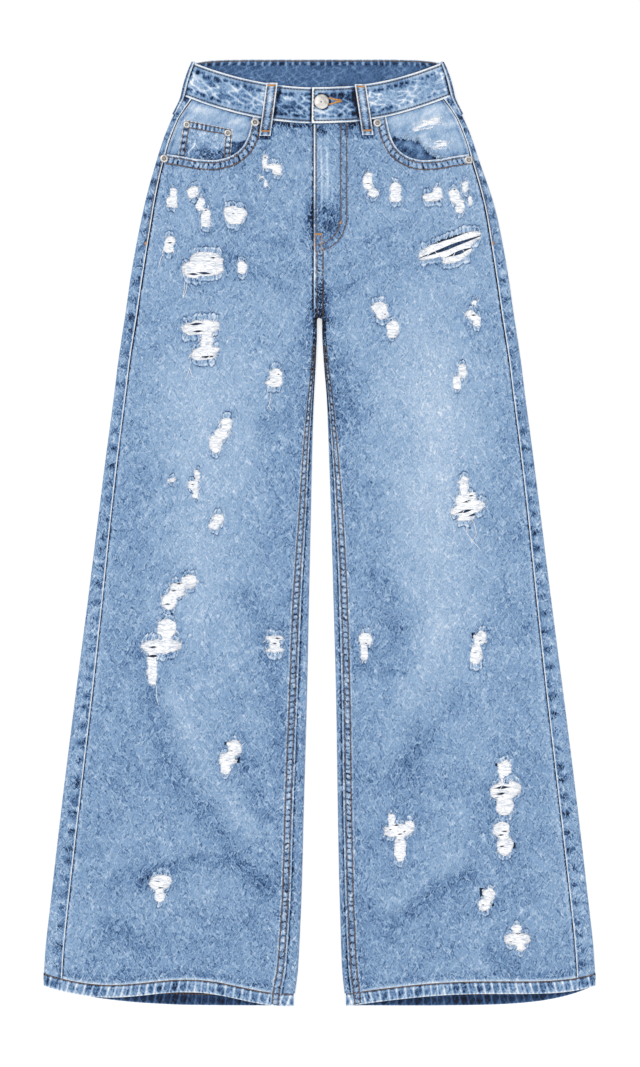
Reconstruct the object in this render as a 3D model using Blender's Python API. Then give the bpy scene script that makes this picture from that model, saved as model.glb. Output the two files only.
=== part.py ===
"""Ripped wide-leg jeans, laid flat on their back.

Run with: blender --background --python part.py

Frame: X across the garment (the wearer's left leg at +X), Y up the garment (the
waist at +Y), Z up out of the front. The underside rests at Z = 0. Sizes below are
in millimetres and are scaled to metres when a mesh is made.

Each cut piece is its own object: a sheet of points on the piece's outer face,
given a wall by a Solidify modifier. Neighbours stop a seam gap apart.
"""

import math
from collections import namedtuple

import bmesh
import bpy

MM = 0.001

# ---------------------------------------------------------------- sizes, in mm
DENIM = 1.3            # wall of one layer of denim
BAND = 2.4             # wall of the waistband and of the turned hems
GAP = 0.3              # space between neighbouring pieces
WAIST_GAP = 0.45       # the same along the strongly curved waist seam
EDGE = 4.2             # how far in from a side fold the cloth curves over

CROTCH_Y = 240.0       # fork of the legs
FOLD_START = 12.0      # below the fork, the legs' inner folds form over this height
FLY_X = -6.5           # centre front seam, just to the wearer's right
FLY_RAISE = 1.0        # the fly lies this much higher than the other front
FLY_WIDTH = 35.0
FLY_BLEND = 12.0
FLY_BOTTOM_Y = 258.0

HEM_CORNER_Y = -506.5  # outer corner of the hem
HEM_DROP = 23.0        # the hem falls this far towards the inner leg
HEM_DEPTH = 14.0
HEM_REACH = 70.0       # the hem's slant and arch fade out this far up the leg

WAIST_SIDE_TOP = 525.0
WAIST_SIDE_BOTTOM = 488.0
WAIST_HALF = 150.0
FRONT_DIP_TOP = 28.0   # the front waist falls this far at the centre
FRONT_DIP_BOTTOM = 31.0
BACK_RISE_TOP = 4.5    # the back waist rises this far at the centre
BACK_RISE_BOTTOM = 2.0
YOKE_SIDE_Y = 461.0
YOKE_CENTRE_Y = 415.0

LOFT = 0.8             # how much the middle of each front stands above its edges
LOFT_REACH = 30.0
LOFT_FADE = 60.0       # and fades out this far below the fork

COIN_DEPTH = 1.7       # coin pocket's face below the front panel's face
FACING_DEPTH = 3.3     # pocket facing's face below it
SHIELD_DEPTH = 1.7     # fly shield's face below it
FACING_BOTTOM_Y = 400.0
FACING_BOTTOM_X = 80.0 # its inner edge, at its bottom and its top
FACING_TOP_X = 62.0
SHIELD_BOTTOM_Y = 300.0
SHIELD_X = (-24.0, -6.5, 8.0, 22.0)

LOOP_WIDTH = 12.5
LOOP_WALL = 1.8
LOOP_SEAT = 0.4
# How a front loop stands off between its two tacked ends: (place up it, height).
LOOP_SWELL = ((0.0, 0.0), (0.15, 0.1), (0.35, 0.6), (0.65, 1.0), (0.9, 0.6), (1.0, 0.2))
# The same for a side loop, by its level.
SIDE_LOOP_SWELL = ((468, 0.0), (480, 0.4), (497, 1.6), (515, 1.0), (526, 0.0))
WAIST_LEVEL = 500.0    # a level inside the waistband, where its heights are read

# ------------------------------------------------------------------- tables
# Outline and heights at levels up the garment. half_gap is half the space between
# the legs; the insets are how far the seams lie inside the folded edges. Near the
# hem a level is a line of the cut cloth, before the hem's slant moves it down.
Station = namedtuple(
    "Station", "y half_width half_gap side_inset inseam_inset back_z front_z"
)
STATIONS = (
    Station(-507, 308.6, 29.4, 20.5, 15.5, 0.0, 6.8),
    Station(-492, 308.2, 28.2, 20.5, 15.5, 0.0, 6.8),
    Station(-468, 306.8, 24.8, 20.5, 15.5, 0.0, 6.2),
    Station(-412, 300.7, 21.3, 20.2, 15.5, 0.0, 5.6),
    Station(-300, 287.8, 18.5, 20.0, 15.3, 0.0, 5.6),
    Station(-188, 273.8, 15.7, 19.0, 15.0, 0.0, 5.6),
    Station(-76, 259.3, 13.4, 16.6, 12.0, 0.0, 5.6),
    Station(36, 245.3, 10.6, 14.2, 9.4, 0.0, 5.6),
    Station(148, 230.7, 6.7, 13.2, 5.8, 0.0, 5.8),
    Station(193, 225.1, 3.8, 13.2, 4.7, 0.0, 6.4),
    Station(228, 219.8, 2.2, 13.3, 4.5, 0.8, 7.4),
    Station(240, 217.8, 0.15, 13.3, 2.0, 1.6, 7.8),
    Station(283, 211.7, 0.15, 13.4, 2.0, 1.6, 7.9),
    Station(328, 203.8, 0.15, 12.6, 2.0, 1.6, 7.9),
    Station(372, 194.3, 0.15, 10.6, 2.0, 1.6, 7.9),
    Station(417, 181.0, 0.15, 8.0, 2.0, 1.6, 7.9),
    Station(440, 173.6, 0.15, 7.4, 2.0, 2.2, 8.6),
    Station(462, 164.5, 0.15, 7.4, 2.0, 2.6, 9.2),
    Station(475, 157.5, 0.15, 8.5, 2.0, 2.6, 9.2),
    Station(488, 151.0, 0.15, 9.0, 2.0, 2.6, 9.2),
    Station(507, 146.0, 0.15, 9.0, 2.0, 2.6, 9.2),
    Station(520, 142.0, 0.15, 9.0, 2.0, 2.6, 9.2),
    Station(530, 138.5, 0.15, 9.0, 2.0, 2.6, 9.2),
)

# Levels of the leg's rows at the outer edge, hem to fork.
LEG_ROWS = (
    -468, -432, -394, -356, -318, -280, -242, -204, -166, -126, -80, -30, 30, 90, 145,
    188, 214, 228,
)
# Rows above the fork: level at the side seam, at the front's centre, at the back's.
HIP_ROWS = ((240, 240, 240), (275, 262, 272), (310, 285, 304), (350, 310, 338), (388, 336, 368))

# The pocket mouth: where the front panel is scooped away, side seam to waist,
# with the level of the same row at the centre front.
Scoop = namedtuple("Scoop", "x y centre_y")
SCOOP = (
    Scoop(None, 423.0, 360.0),   # on the side seam, wherever that runs
    Scoop(-151.5, 420.0, 378.0),
    Scoop(-135.0, 417.0, 394.0),
    Scoop(-118.0, 416.0, 408.0),
    Scoop(-103.0, 419.0, 418.0),
    Scoop(-92.0, 425.0, 428.0),
    Scoop(-84.5, 433.0, 437.0),
    Scoop(-79.0, 445.0, 446.0),
)
SCOOP_TOP_X = -74.5              # where the mouth meets the waist seam

# Largest folds: a ridge (height above 0) or a valley from one point to the other.
Fold = namedtuple("Fold", "x1 y1 x2 y2 width height")
FOLDS = (
    Fold(-180, -160, -66, -352, 15, 4.2),
    Fold(-98, -48, -58, -232, 12, -2.2),
    Fold(-182, -195, -118, -306, 10, -2.2),
    Fold(-173, -390, -116, -364, 10, -2.4),
    Fold(-116, -364, -60, -402, 10, -2.4),
    Fold(-200, -420, -112, -398, 11, 1.8),
    Fold(-252, -425, -180, -473, 10, -1.8),
    Fold(18, 200, 95, -125, 17, -2.2),
    Fold(142, -85, 62, -272, 15, 4.2),
    Fold(174, -160, 78, -288, 11, -2.3),
    Fold(48, -436, 168, -352, 12, 3.0),
    Fold(66, -449, 192, -376, 10, -2.8),
    Fold(178, -462, 232, -482, 9, -1.4),
)
HEM_ARCH = {-1: 1.2, 1: 1.0}     # rise of the hem's front at its middle, by side
HEM_LIFT = {-1: 16.0, 1: 12.0}   # how much shorter the lifted front hem looks
ARCH_POWER = 2.4                 # how narrow the arch is
ARCH_SKEW = 1.3                  # above 1, its middle lies towards the inner leg

# The larger places where the cloth is worn through: middle, size and lean (mm
# across for each mm up).
Rip = namedtuple("Rip", "x y width height lean")
RIPS = (
    Rip(-92, 355, 23, 18, 0.0),
    Rip(-127, 301, 46, 24, 0.0),
    Rip(-133, 219, 40, 42, 0.2),
    Rip(-108, 107, 11, 40, 0.3),
    Rip(-143, -67, 25, 14, 0.5),
    Rip(-176, -130, 42, 26, 0.0),
    Rip(-184, -160, 13, 24, 0.0),
    Rip(-100, -250, 13, 36, 0.3),
    Rip(-181, -388, 22, 24, 0.1),
    Rip(87, 377, 15, 28, 0.1),
    Rip(128, 376, 22, 15, 0.1),
    Rip(159, 376, 13, 30, -0.1),
    Rip(146, 316, 64, 26, 0.3),
    Rip(74, 240, 15, 36, -0.4),
    Rip(158, 173, 11, 28, 0.4),
    Rip(164, 38, 34, 34, 0.0),
    Rip(178, -124, 14, 44, 0.3),
    Rip(90, -337, 30, 24, 0.0),
    Rip(207, -284, 28, 38, 0.0),
    Rip(197, -334, 13, 36, -0.3),
    Rip(222, -460, 26, 22, 0.0),
)
RIP_SIDES = 8
RIP_CUT_LOW = 3.3      # the cutters stand from here, between front and back

# Back pocket: outline from the middle of its top, corner by corner.
BACK_POCKET = ((-64, 2), (64, -4), (60, -108), (0, -132), (-60, -104))
BACK_POCKET_MIDDLE = (97, 392)

# Coin pocket: bottom outer, bottom inner, top inner and top outer corners.
COIN_POCKET = ((-160, 405), (-100, 405), (-96.7, 450.6), (-150.1, 461.6))

# Top and bottom middle of the two belt loops on the front.
FRONT_LOOPS = {"right": ((-53, 502), (-61, 443)), "left": ((45.5, 500.5), (54, 444))}
BACK_LOOP_Y = (462, 529.5)

# Turned outlines: (radius, height) from the base up.
BUTTON_R = 8.5
RIVET_R = 4.5
BUTTON_PROFILE = (
    (0, 0), (7.4, 0), (BUTTON_R, 0.9), (8.2, 2.0), (6.6, 2.9), (4.4, 3.0), (2.8, 2.3), (0, 2.1),
)
RIVET_PROFILE = (
    (0, 0), (RIVET_R, 0), (4.4, 0.6), (2.6, 1.2), (1.6, 1.1), (0.9, 1.8), (0, 2.0),
)
COIN_RIVET_SCALE = 0.84
BUTTON_SIDES = 20
BUTTON_AT = (2.2, 480.6)
RIVET_SIDES = 12
RIVETS = {
    "rivet_pocket_top_right": (-72, 458.2),
    "rivet_pocket_side_right": (-172.8, 417.9),
    "rivet_pocket_top_left": (64.6, 457.5),
    "rivet_pocket_side_left": (169.5, 416.3),
}
COIN_RIVETS = {"rivet_coin_outer": (-147.5, 455.8), "rivet_coin_inner": (-102, 446.5)}

DENIM_BLUE = (0.25, 0.40, 0.62)
DENIM_DARK = (0.11, 0.19, 0.36)
METAL = (0.68, 0.66, 0.62)


# ------------------------------------------------------------------ helpers
def smooth(t):
    """0 below 0, 1 above 1, and an even curve between."""
    t = max(0.0, min(1.0, t))
    return t * t * (3 - 2 * t)


def at(y, column):
    """A column of STATIONS at level y, on a smooth curve with no overshoot."""
    ys = [s.y for s in STATIONS]
    vs = [getattr(s, column) for s in STATIONS]
    y = max(ys[0], min(ys[-1], y))
    k = max(i for i in range(len(ys) - 1) if ys[i] <= y)

    def rise(i):
        return (vs[i + 1] - vs[i]) / (ys[i + 1] - ys[i])

    def slope(i):
        if i == 0 or i == len(ys) - 1:
            return rise(min(i, len(ys) - 2))
        before, after = rise(i - 1), rise(i)
        return 0.0 if before * after <= 0 else 2 * before * after / (before + after)

    span = ys[k + 1] - ys[k]
    t = (y - ys[k]) / span
    a, b = (1 - t) ** 2 * (1 + 2 * t), t * (1 - t) ** 2
    c, d = t * t * (3 - 2 * t), t * t * (t - 1)
    return a * vs[k] + b * span * slope(k) + c * vs[k + 1] + d * span * slope(k + 1)


def rounded(inside):
    """Height of a quarter curve: 0 on the fold, 1 once EDGE inside it."""
    t = 1 - max(0.0, min(EDGE, inside)) / EDGE
    return math.sqrt(1 - t * t)


def edges(x, y):
    """(distance inside the outer fold, inside the inner fold, how formed that is)."""
    outer = at(y, "half_width") - abs(x)
    inner = abs(x) - at(y, "half_gap")
    return outer, inner, smooth((CROTCH_Y - y) / FOLD_START)


def roundness(x, y):
    outer, inner, formed = edges(x, y)
    return min(rounded(outer), 1 + formed * (rounded(inner) - 1))


def across(x, y):
    """Place across a leg, 0 at its outer fold and 1 at its inner one."""
    wide, gap = at(y, "half_width"), at(y, "half_gap")
    return max(0.0, min(1.0, (wide - abs(x)) / (wide - gap)))


def arch(x, y):
    """0 to 1: how far the hem's front is lifted off the back at a point."""
    return math.sin(math.pi * across(x, y) ** ARCH_SKEW) ** ARCH_POWER


def near_hem(y):
    """1 at the hem, and 0 once HEM_REACH above it."""
    return 1 - smooth((y - HEM_CORNER_Y - HEM_DEPTH) / HEM_REACH)


def side_of(x):
    return -1 if x < 0 else 1


def relief(x, y):
    """How far the front stands above its edges: the loft, the folds, the hem's arch."""
    outer, inner, formed = edges(x, y)
    inside = min(outer, inner if formed > 0.5 else outer)
    total = LOFT * smooth((CROTCH_Y - y) / LOFT_FADE)
    for f in FOLDS:
        run = math.hypot(f.x2 - f.x1, f.y2 - f.y1)
        along = ((x - f.x1) * (f.x2 - f.x1) + (y - f.y1) * (f.y2 - f.y1)) / run
        off = ((x - f.x1) * (f.y2 - f.y1) - (y - f.y1) * (f.x2 - f.x1)) / run
        ends = smooth(along / (2 * f.width)) * smooth((run - along) / (2 * f.width))
        total += f.height * ends * math.exp(-((off / f.width) ** 2))
    total *= smooth(inside / LOFT_REACH)
    return total + HEM_ARCH[side_of(x)] * arch(x, y) * near_hem(y)


def front_z(x, y):
    """Height of the front's outer face."""
    low, high = at(y, "back_z"), at(y, "front_z")
    middle = (low + high) / 2
    return middle + (high - middle) * roundness(x, y) + relief(x, y)


def back_z(x, y):
    """Height of the back's outer face, which is the underside."""
    low, high = at(y, "back_z"), at(y, "front_z")
    middle = (low + high) / 2
    return middle - (middle - low) * roundness(x, y)


def hem_shift(x, y, on_front):
    """How far the hem's slant and the front's lift move a point up or down."""
    slant = HEM_DROP * (1 - (1 - across(x, y)) ** 3)
    lift = HEM_LIFT[side_of(x)] * arch(x, y) if on_front else 0.0
    return (lift - slant) * near_hem(y)


def fly_step(x, y):
    """The wearer's left front is doubled at the fly, so it stands higher there."""
    beside = smooth((FLY_X + FLY_WIDTH + FLY_BLEND - x) / FLY_BLEND)
    return FLY_RAISE * beside * smooth((y - CROTCH_Y) / (FLY_BOTTOM_Y - CROTCH_Y))


def on_front(x, y, out=0.0):
    """The point of the front's outer face at a level of the cut, moved out."""
    return (x, y + hem_shift(x, y, True), front_z(x, y) + out)


def on_back(x, y):
    """The point of the back's outer face at a level of the cut."""
    return (x, y + hem_shift(x, y, False), back_z(x, y))


def waist_y(x, on_front, at_top):
    """Level of the waistband's top or bottom edge."""
    part = min(1.0, abs(x) / WAIST_HALF)
    side = WAIST_SIDE_TOP if at_top else WAIST_SIDE_BOTTOM
    if on_front:
        return side - (FRONT_DIP_TOP if at_top else FRONT_DIP_BOTTOM) * (1 - part**2)
    return side + (BACK_RISE_TOP if at_top else BACK_RISE_BOTTOM) * (1 - part**8)


# ------------------------------------------------------------- making objects
def cloth_material(name, colour, roughness=0.9, metallic=0.0):
    material = bpy.data.materials.new(name)
    material.use_nodes = True
    shader = material.node_tree.nodes["Principled BSDF"]
    shader.inputs["Base Color"].default_value = (*colour, 1.0)
    shader.inputs["Roughness"].default_value = roughness
    shader.inputs["Metallic"].default_value = metallic
    return material


def add_object(name, mesh, material):
    obj = bpy.data.objects.new(name, mesh)
    bpy.context.scene.collection.objects.link(obj)
    mesh.materials.append(material)
    return obj


def sheet(name, rows, wall, material, ring=False, flip=False):
    """A cloth piece from rows of points on its outer face; None leaves a hole.

    The wall goes in from that face. A ring joins each row's last point to its first.
    """
    bm = bmesh.new()
    made = [
        [None if p is None else bm.verts.new([c * MM for c in p]) for p in row]
        for row in rows
    ]
    for lower, upper in zip(made, made[1:]):
        count = len(lower) if ring else len(lower) - 1
        for i in range(count):
            j = (i + 1) % len(lower)
            corners = [lower[i], lower[j], upper[j], upper[i]]
            if None not in corners:
                bm.faces.new(corners[::-1] if flip else corners)
    bmesh.ops.delete(
        bm, geom=[v for v in bm.verts if not v.link_faces], context="VERTS"
    )
    mesh = bpy.data.meshes.new(name)
    bm.to_mesh(mesh)
    bm.free()
    mesh.shade_smooth()
    obj = add_object(name, mesh, material)
    solid = obj.modifiers.new("wall", "SOLIDIFY")
    solid.thickness = wall * MM
    solid.offset = -1.0
    return obj


def prism(name, outline, low, high, material):
    """A flat piece: an outline in plan, from one height to the other."""
    bm = bmesh.new()
    base = bm.faces.new([bm.verts.new((x * MM, y * MM, low * MM)) for x, y in outline])
    made = bmesh.ops.extrude_face_region(bm, geom=[base])["geom"]
    top = [v for v in made if isinstance(v, bmesh.types.BMVert)]
    bmesh.ops.translate(bm, verts=top, vec=(0, 0, (high - low) * MM))
    bmesh.ops.recalc_face_normals(bm, faces=bm.faces)
    mesh = bpy.data.meshes.new(name)
    bm.to_mesh(mesh)
    bm.free()
    return add_object(name, mesh, material)


def turned(name, profile, centre, steps, material):
    """A turned piece on a vertical axis: (radius, height) from its base up."""
    bm = bmesh.new()
    verts = [bm.verts.new((r * MM, 0, z * MM)) for r, z in profile]
    lines = [bm.edges.new(pair) for pair in zip(verts, verts[1:])]
    bmesh.ops.spin(
        bm, geom=verts + lines, cent=(0, 0, 0), axis=(0, 0, 1),
        angle=2 * math.pi, steps=steps, use_merge=True,
    )
    bmesh.ops.remove_doubles(bm, verts=bm.verts, dist=1e-6)
    bmesh.ops.recalc_face_normals(bm, faces=bm.faces)
    mesh = bpy.data.meshes.new(name)
    bm.to_mesh(mesh)
    bm.free()
    mesh.shade_smooth()
    mesh.set_sharp_from_angle(angle=math.radians(40))
    obj = add_object(name, mesh, material)
    obj.location = [c * MM for c in centre]
    return obj


# ------------------------------------------------------------- legs and hips
ARC_IN = [EDGE * (1 - math.cos(math.radians(a))) for a in (0, 45, 90)]
FRONT_COLUMNS = 9
BACK_COLUMNS = 4
# The last columns of a front lie this near its inner edge: at the inseam, at the fly.
AT_INSEAM = (3.0, 1.2)
AT_FLY = (5.0, 2.5)


def even(first, last, count):
    return [first + (last - first) * k / count for k in range(count + 1)]


def side_seam_x(side, y, gap=GAP / 2):
    return side * (at(y, "half_width") - at(y, "side_inset") - gap)


def inseam_x(side, y, gap=GAP / 2):
    return side * (at(y, "half_gap") + at(y, "inseam_inset") + gap)


def front_row(side, outer, inner, last_columns, at_waist=False):
    """Points of one row of a front panel, from its outer end to its inner end."""
    (x0, y0), (x1, y1) = outer, inner
    inner_parts = [1 - near / abs(x1 - x0) for near in last_columns]
    parts = even(0.0, 1.0, FRONT_COLUMNS)[:-1] + inner_parts + [1.0]
    row = []
    for part in parts:
        x, y = x0 + (x1 - x0) * part, y0 + (y1 - y0) * part
        if at_waist:
            y = waist_y(x, True, False) - WAIST_GAP
        row.append(on_front(x, y, fly_step(x, y) if side > 0 else 0.0))
    return row


def leg_front_row(side, y):
    return front_row(side, (side_seam_x(side, y), y), (inseam_x(side, y), y), AT_INSEAM)


def front_panel(side):
    """Rows of a front panel, hem to waist."""
    fly_x = FLY_X + side * GAP / 2
    rows = [leg_front_row(side, y) for y in (hem_seam() + GAP / 2, *LEG_ROWS)]
    for y, centre_y, _ in HIP_ROWS:
        rows.append(front_row(side, (side_seam_x(side, y), y), (fly_x, centre_y), AT_FLY))
    for s in SCOOP:
        x = side_seam_x(side, s.y) if s.x is None else -side * s.x
        rows.append(front_row(side, (x, s.y), (fly_x, s.centre_y), AT_FLY))
    top = WAIST_SIDE_BOTTOM
    rows.append(front_row(side, (-side * SCOOP_TOP_X, top), (fly_x, top), AT_FLY, at_waist=True))
    return rows


def hem_seam():
    return HEM_CORNER_Y + HEM_DEPTH


def back_row(side, outer_y, inner_y, leg=False, at_waist=False):
    """One row of a back panel: side seam, outer fold, underside, inner fold, inseam."""
    wide, gap = at(outer_y, "half_width"), at(inner_y, "half_gap")
    seam = at(outer_y, "side_inset") - GAP / 2
    flap = at(inner_y, "inseam_inset") - GAP / 2

    def level(x, front):
        if at_waist:
            return waist_y(x, front, False) - WAIST_GAP
        if front:
            return outer_y
        return inner_y + (outer_y - inner_y) * abs(x) / wide

    row = []
    for inside in (seam, (seam + EDGE) / 2, *ARC_IN[:0:-1]):
        x = side * (wide - inside)
        row.append(on_front(x, level(x, True)))
    for inside in ARC_IN:
        x = side * (wide - inside)
        row.append(on_back(x, level(x, False)))
    for x in even(wide - EDGE, gap + EDGE, BACK_COLUMNS)[1:-1]:
        row.append(on_back(side * x, level(x, False)))
    for inside in reversed(ARC_IN):
        x = side * (gap + inside)
        row.append(on_back(x, level(x, False)))
    for part in (1 / 3, 2 / 3, 1):
        row.append(on_front(side * (gap + flap * part), inner_y) if leg else None)
    return row


def back_panel(side):
    """Rows of a back panel, hem to yoke."""
    rows = [back_row(side, y, y, leg=True) for y in (hem_seam() + GAP / 2, *LEG_ROWS)]
    rows += [back_row(side, y, centre) for y, _, centre in HIP_ROWS]
    rows.append(back_row(side, 423, 394))
    rows.append(back_row(side, YOKE_SIDE_Y - GAP / 2, YOKE_CENTRE_Y - GAP / 2))
    return rows


def yoke(side):
    """Rows of a back yoke, from the back panel up to the waistband."""
    return [
        back_row(side, YOKE_SIDE_Y + GAP / 2, YOKE_CENTRE_Y + GAP / 2),
        back_row(side, YOKE_SIDE_Y + 13, YOKE_CENTRE_Y + 35),
        back_row(side, WAIST_SIDE_BOTTOM, WAIST_SIDE_BOTTOM, at_waist=True),
    ]


def hem(side):
    """Rings of a leg's turned hem, from its edge up to the panels."""
    rings = []
    for y in (HEM_CORNER_Y, HEM_CORNER_Y + HEM_DEPTH / 2, hem_seam() - GAP / 2):
        back = back_row(side, y, y, leg=True)
        rings.append(leg_front_row(side, y)[:-1] + back[-2:0:-1])
    return rings


# ------------------------------------------------------------- the waistband
BAND_FRONT_X = (132, 115, 96, 78, 62, 50, 36, 30)
OVER_END_X = (24, 19, 6, FLY_X - 2.2)   # the left end, which lies on top
UNDER_END_X = (17, 6, FLY_X - 2.2, -20)
LAP_START_X = 36.0                      # the over end climbs from here
LAP_RUN = 17.0


def waistband():
    """Rows of the waistband, bottom to top, from its under end round to its over end."""
    half = WAIST_HALF
    fold = [half - inside for inside in (12, *ARC_IN[:0:-1])]
    under = [(x, True) for x in UNDER_END_X + tuple(-x for x in reversed(BAND_FRONT_X[:-1]))]
    under += [(-x, True) for x in fold]
    back = [(-half + inside, False) for inside in ARC_IN]
    back += [(x, False) for x in even(EDGE - half, half - EDGE, 10)[1:-1]]
    back += [(half - inside, False) for inside in reversed(ARC_IN)]
    over = [(x, True) for x in (*reversed(fold), *BAND_FRONT_X, *OVER_END_X)]
    rows = []
    for part in even(0, 1, 2):
        level = WAIST_SIDE_BOTTOM + (WAIST_SIDE_TOP - WAIST_SIDE_BOTTOM) * part
        taper = at(level, "half_width") / half
        row = []
        for x, front in under + back + over:
            low, high = waist_y(x, front, False), waist_y(x, front, True)
            low_z, high_z = at(level, "back_z"), at(level, "front_z")
            middle = (low_z + high_z) / 2
            lift = (high_z - middle) * rounded(half - abs(x))
            z = middle + (lift if front else -lift)
            if len(row) >= len(under + back):
                z += (BAND + GAP) * smooth((LAP_START_X - x) / LAP_RUN)
            row.append((x * taper, low + (high - low) * part, z))
        rows.append(row)
    return rows


# ------------------------------------------------------------ pieces in and on
def coin_pocket():
    """Rows of the coin pocket, which lies between the facing and the front."""
    (ax, ay), (bx, by), (cx, cy), (dx, dy) = COIN_POCKET
    rows = []
    for v in even(0, 1, 2):
        row = []
        for u in even(0, 1, 3):
            x = (ax + (bx - ax) * u) * (1 - v) + (dx + (cx - dx) * u) * v
            y = (ay + (by - ay) * u) * (1 - v) + (dy + (cy - dy) * u) * v
            row.append(on_front(x, y, -COIN_DEPTH))
        rows.append(row)
    return rows


def facing(side):
    """Rows of a pocket facing, which shows in the pocket mouth."""
    rows = []
    for v in even(0, 1, 5):
        level = FACING_BOTTOM_Y + (WAIST_SIDE_BOTTOM - WAIST_GAP - FACING_BOTTOM_Y) * v
        outer = abs(side_seam_x(side, level, GAP + 0.5))
        inner = FACING_BOTTOM_X + (FACING_TOP_X - FACING_BOTTOM_X) * v
        row = []
        for x in even(outer, inner, 5):
            top = waist_y(x, True, False) - WAIST_GAP
            y = FACING_BOTTOM_Y + (top - FACING_BOTTOM_Y) * v
            row.append(on_front(side * x, y, -FACING_DEPTH))
        rows.append(row)
    return rows


def fly_shield():
    """Rows of the strip of cloth behind the fly."""
    rows = []
    for v in even(0, 1, 4):
        row = []
        for x in SHIELD_X:
            top = waist_y(x, True, False) - WAIST_GAP
            y = SHIELD_BOTTOM_Y + (top - SHIELD_BOTTOM_Y) * v
            row.append(on_front(x, y, -SHIELD_DEPTH))
        rows.append(row)
    return rows


def front_loop(top, bottom):
    """Rows of a belt loop on the front, from its lower end up."""
    (tx, ty), (bx, by) = top, bottom
    rows = []
    for part, swell in LOOP_SWELL:
        x, y = bx + (tx - bx) * part, by + (ty - by) * part
        out = LOOP_SEAT + LOOP_WALL + swell
        rows.append([on_front(x + LOOP_WIDTH * u, y, out) for u in (-0.5, 0.0, 0.5)])
    return rows


def side_loop(side):
    """Rows of the loop that lies round the waistband's side fold."""
    rows = []
    low_z, high_z = at(WAIST_LEVEL, "back_z"), at(WAIST_LEVEL, "front_z")
    middle, half = (low_z + high_z) / 2, (high_z - low_z) / 2
    for y, swell in SIDE_LOOP_SWELL:
        wide = at(y, "half_width")
        row = []
        for degrees in (-90, -60, -30, 0, 30, 60):
            c, s = math.cos(math.radians(degrees)), math.sin(math.radians(degrees))
            reach = LOOP_SEAT + LOOP_WALL + (swell if degrees > -60 else 0.0)
            lean = math.hypot(c / EDGE, s / half)
            x = wide - EDGE + EDGE * c + reach * c / EDGE / lean
            row.append((side * x, y, middle + half * s + reach * s / half / lean))
        rows.append(row)
    return rows


def back_loop():
    """Rows of the loop at the centre back, on the underside."""
    z = at(WAIST_LEVEL, "back_z") - LOOP_SEAT - LOOP_WALL
    half = LOOP_WIDTH / 2
    return [[(-half, y, z), (half, y, z)] for y in BACK_LOOP_Y]


# ---------------------------------------------------------------------- rips
def rip_outline(rip):
    """A rip's outline in plan, an uneven rounded box."""
    points = []
    for k in range(RIP_SIDES):
        angle = 2 * math.pi * (k + 0.5) / RIP_SIDES
        uneven = 1 + 0.12 * math.sin(2.7 * k + rip.x)
        dx = rip.width / 2 * uneven * math.cos(angle) / math.cos(math.pi / RIP_SIDES)
        dy = rip.height / 2 * uneven * math.sin(angle) / math.cos(math.pi / RIP_SIDES)
        points.append((rip.x + dx + rip.lean * dy, rip.y + dy))
    return points


def tear(panel, side):
    """Cuts the rips of one side through its front panel."""
    bm = bmesh.new()
    for rip in RIPS:
        if side_of(rip.x) == side:
            outline = [(x * MM, y * MM, RIP_CUT_LOW * MM) for x, y in rip_outline(rip)]
            base = bm.faces.new([bm.verts.new(p) for p in outline])
            made = bmesh.ops.extrude_face_region(bm, geom=[base])["geom"]
            top = [v for v in made if isinstance(v, bmesh.types.BMVert)]
            bmesh.ops.translate(bm, verts=top, vec=(0, 0, 30 * MM))
    bmesh.ops.recalc_face_normals(bm, faces=bm.faces)
    mesh = bpy.data.meshes.new(f"{panel.name}_rips")
    bm.to_mesh(mesh)
    bm.free()
    cutter = add_object(mesh.name, mesh, GUIDE)
    cutter.hide_render = True
    cutter.display_type = "WIRE"
    boolean = panel.modifiers.new("rips", "BOOLEAN")
    boolean.object = cutter


def seat_z(x, y, radius):
    """Height that a round piece on the front stands at, clear of the cloth."""
    around = ((1, 0), (-1, 0), (0, 1), (0, -1), (0, 0))
    return max(front_z(x + radius * dx, y + radius * dy) for dx, dy in around) + GAP


# ------------------------------------------------------------------- the build
for old in list(bpy.data.objects):
    bpy.data.objects.remove(old)

DENIM_CLOTH = cloth_material("denim", DENIM_BLUE)
DENIM_INSIDE = cloth_material("denim_facing", DENIM_DARK)
STEEL = cloth_material("metal", METAL, roughness=0.35, metallic=1.0)
GUIDE = cloth_material("guide", (1, 0, 0))
SIDES = {"right": -1, "left": 1}

for word, side in SIDES.items():
    front = sheet(f"front_{word}", front_panel(side), DENIM, DENIM_CLOTH, flip=side > 0)
    tear(front, side)
    sheet(f"back_{word}", back_panel(side), DENIM, DENIM_CLOTH, flip=side < 0)
    sheet(f"yoke_{word}", yoke(side), DENIM, DENIM_CLOTH, flip=side < 0)
    sheet(f"hem_{word}", hem(side), BAND, DENIM_CLOTH, ring=True, flip=side > 0)
    sheet(f"pocket_facing_{word}", facing(side), DENIM, DENIM_INSIDE, flip=side > 0)
    sheet(f"belt_loop_front_{word}", front_loop(*FRONT_LOOPS[word]), LOOP_WALL, DENIM_CLOTH)
    sheet(f"belt_loop_side_{word}", side_loop(side), LOOP_WALL, DENIM_CLOTH, flip=side > 0)
    middle_x, middle_y = BACK_POCKET_MIDDLE
    outline = [(side * (middle_x + x), middle_y + y) for x, y in BACK_POCKET]
    prism(f"back_pocket_{word}", outline, 0.0, DENIM, DENIM_CLOTH)

sheet("waistband", waistband(), BAND, DENIM_CLOTH, flip=True)
sheet("belt_loop_back", back_loop(), LOOP_WALL, DENIM_CLOTH, flip=True)
sheet("fly_shield", fly_shield(), DENIM, DENIM_INSIDE)
sheet("coin_pocket", coin_pocket(), DENIM, DENIM_CLOTH)

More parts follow.
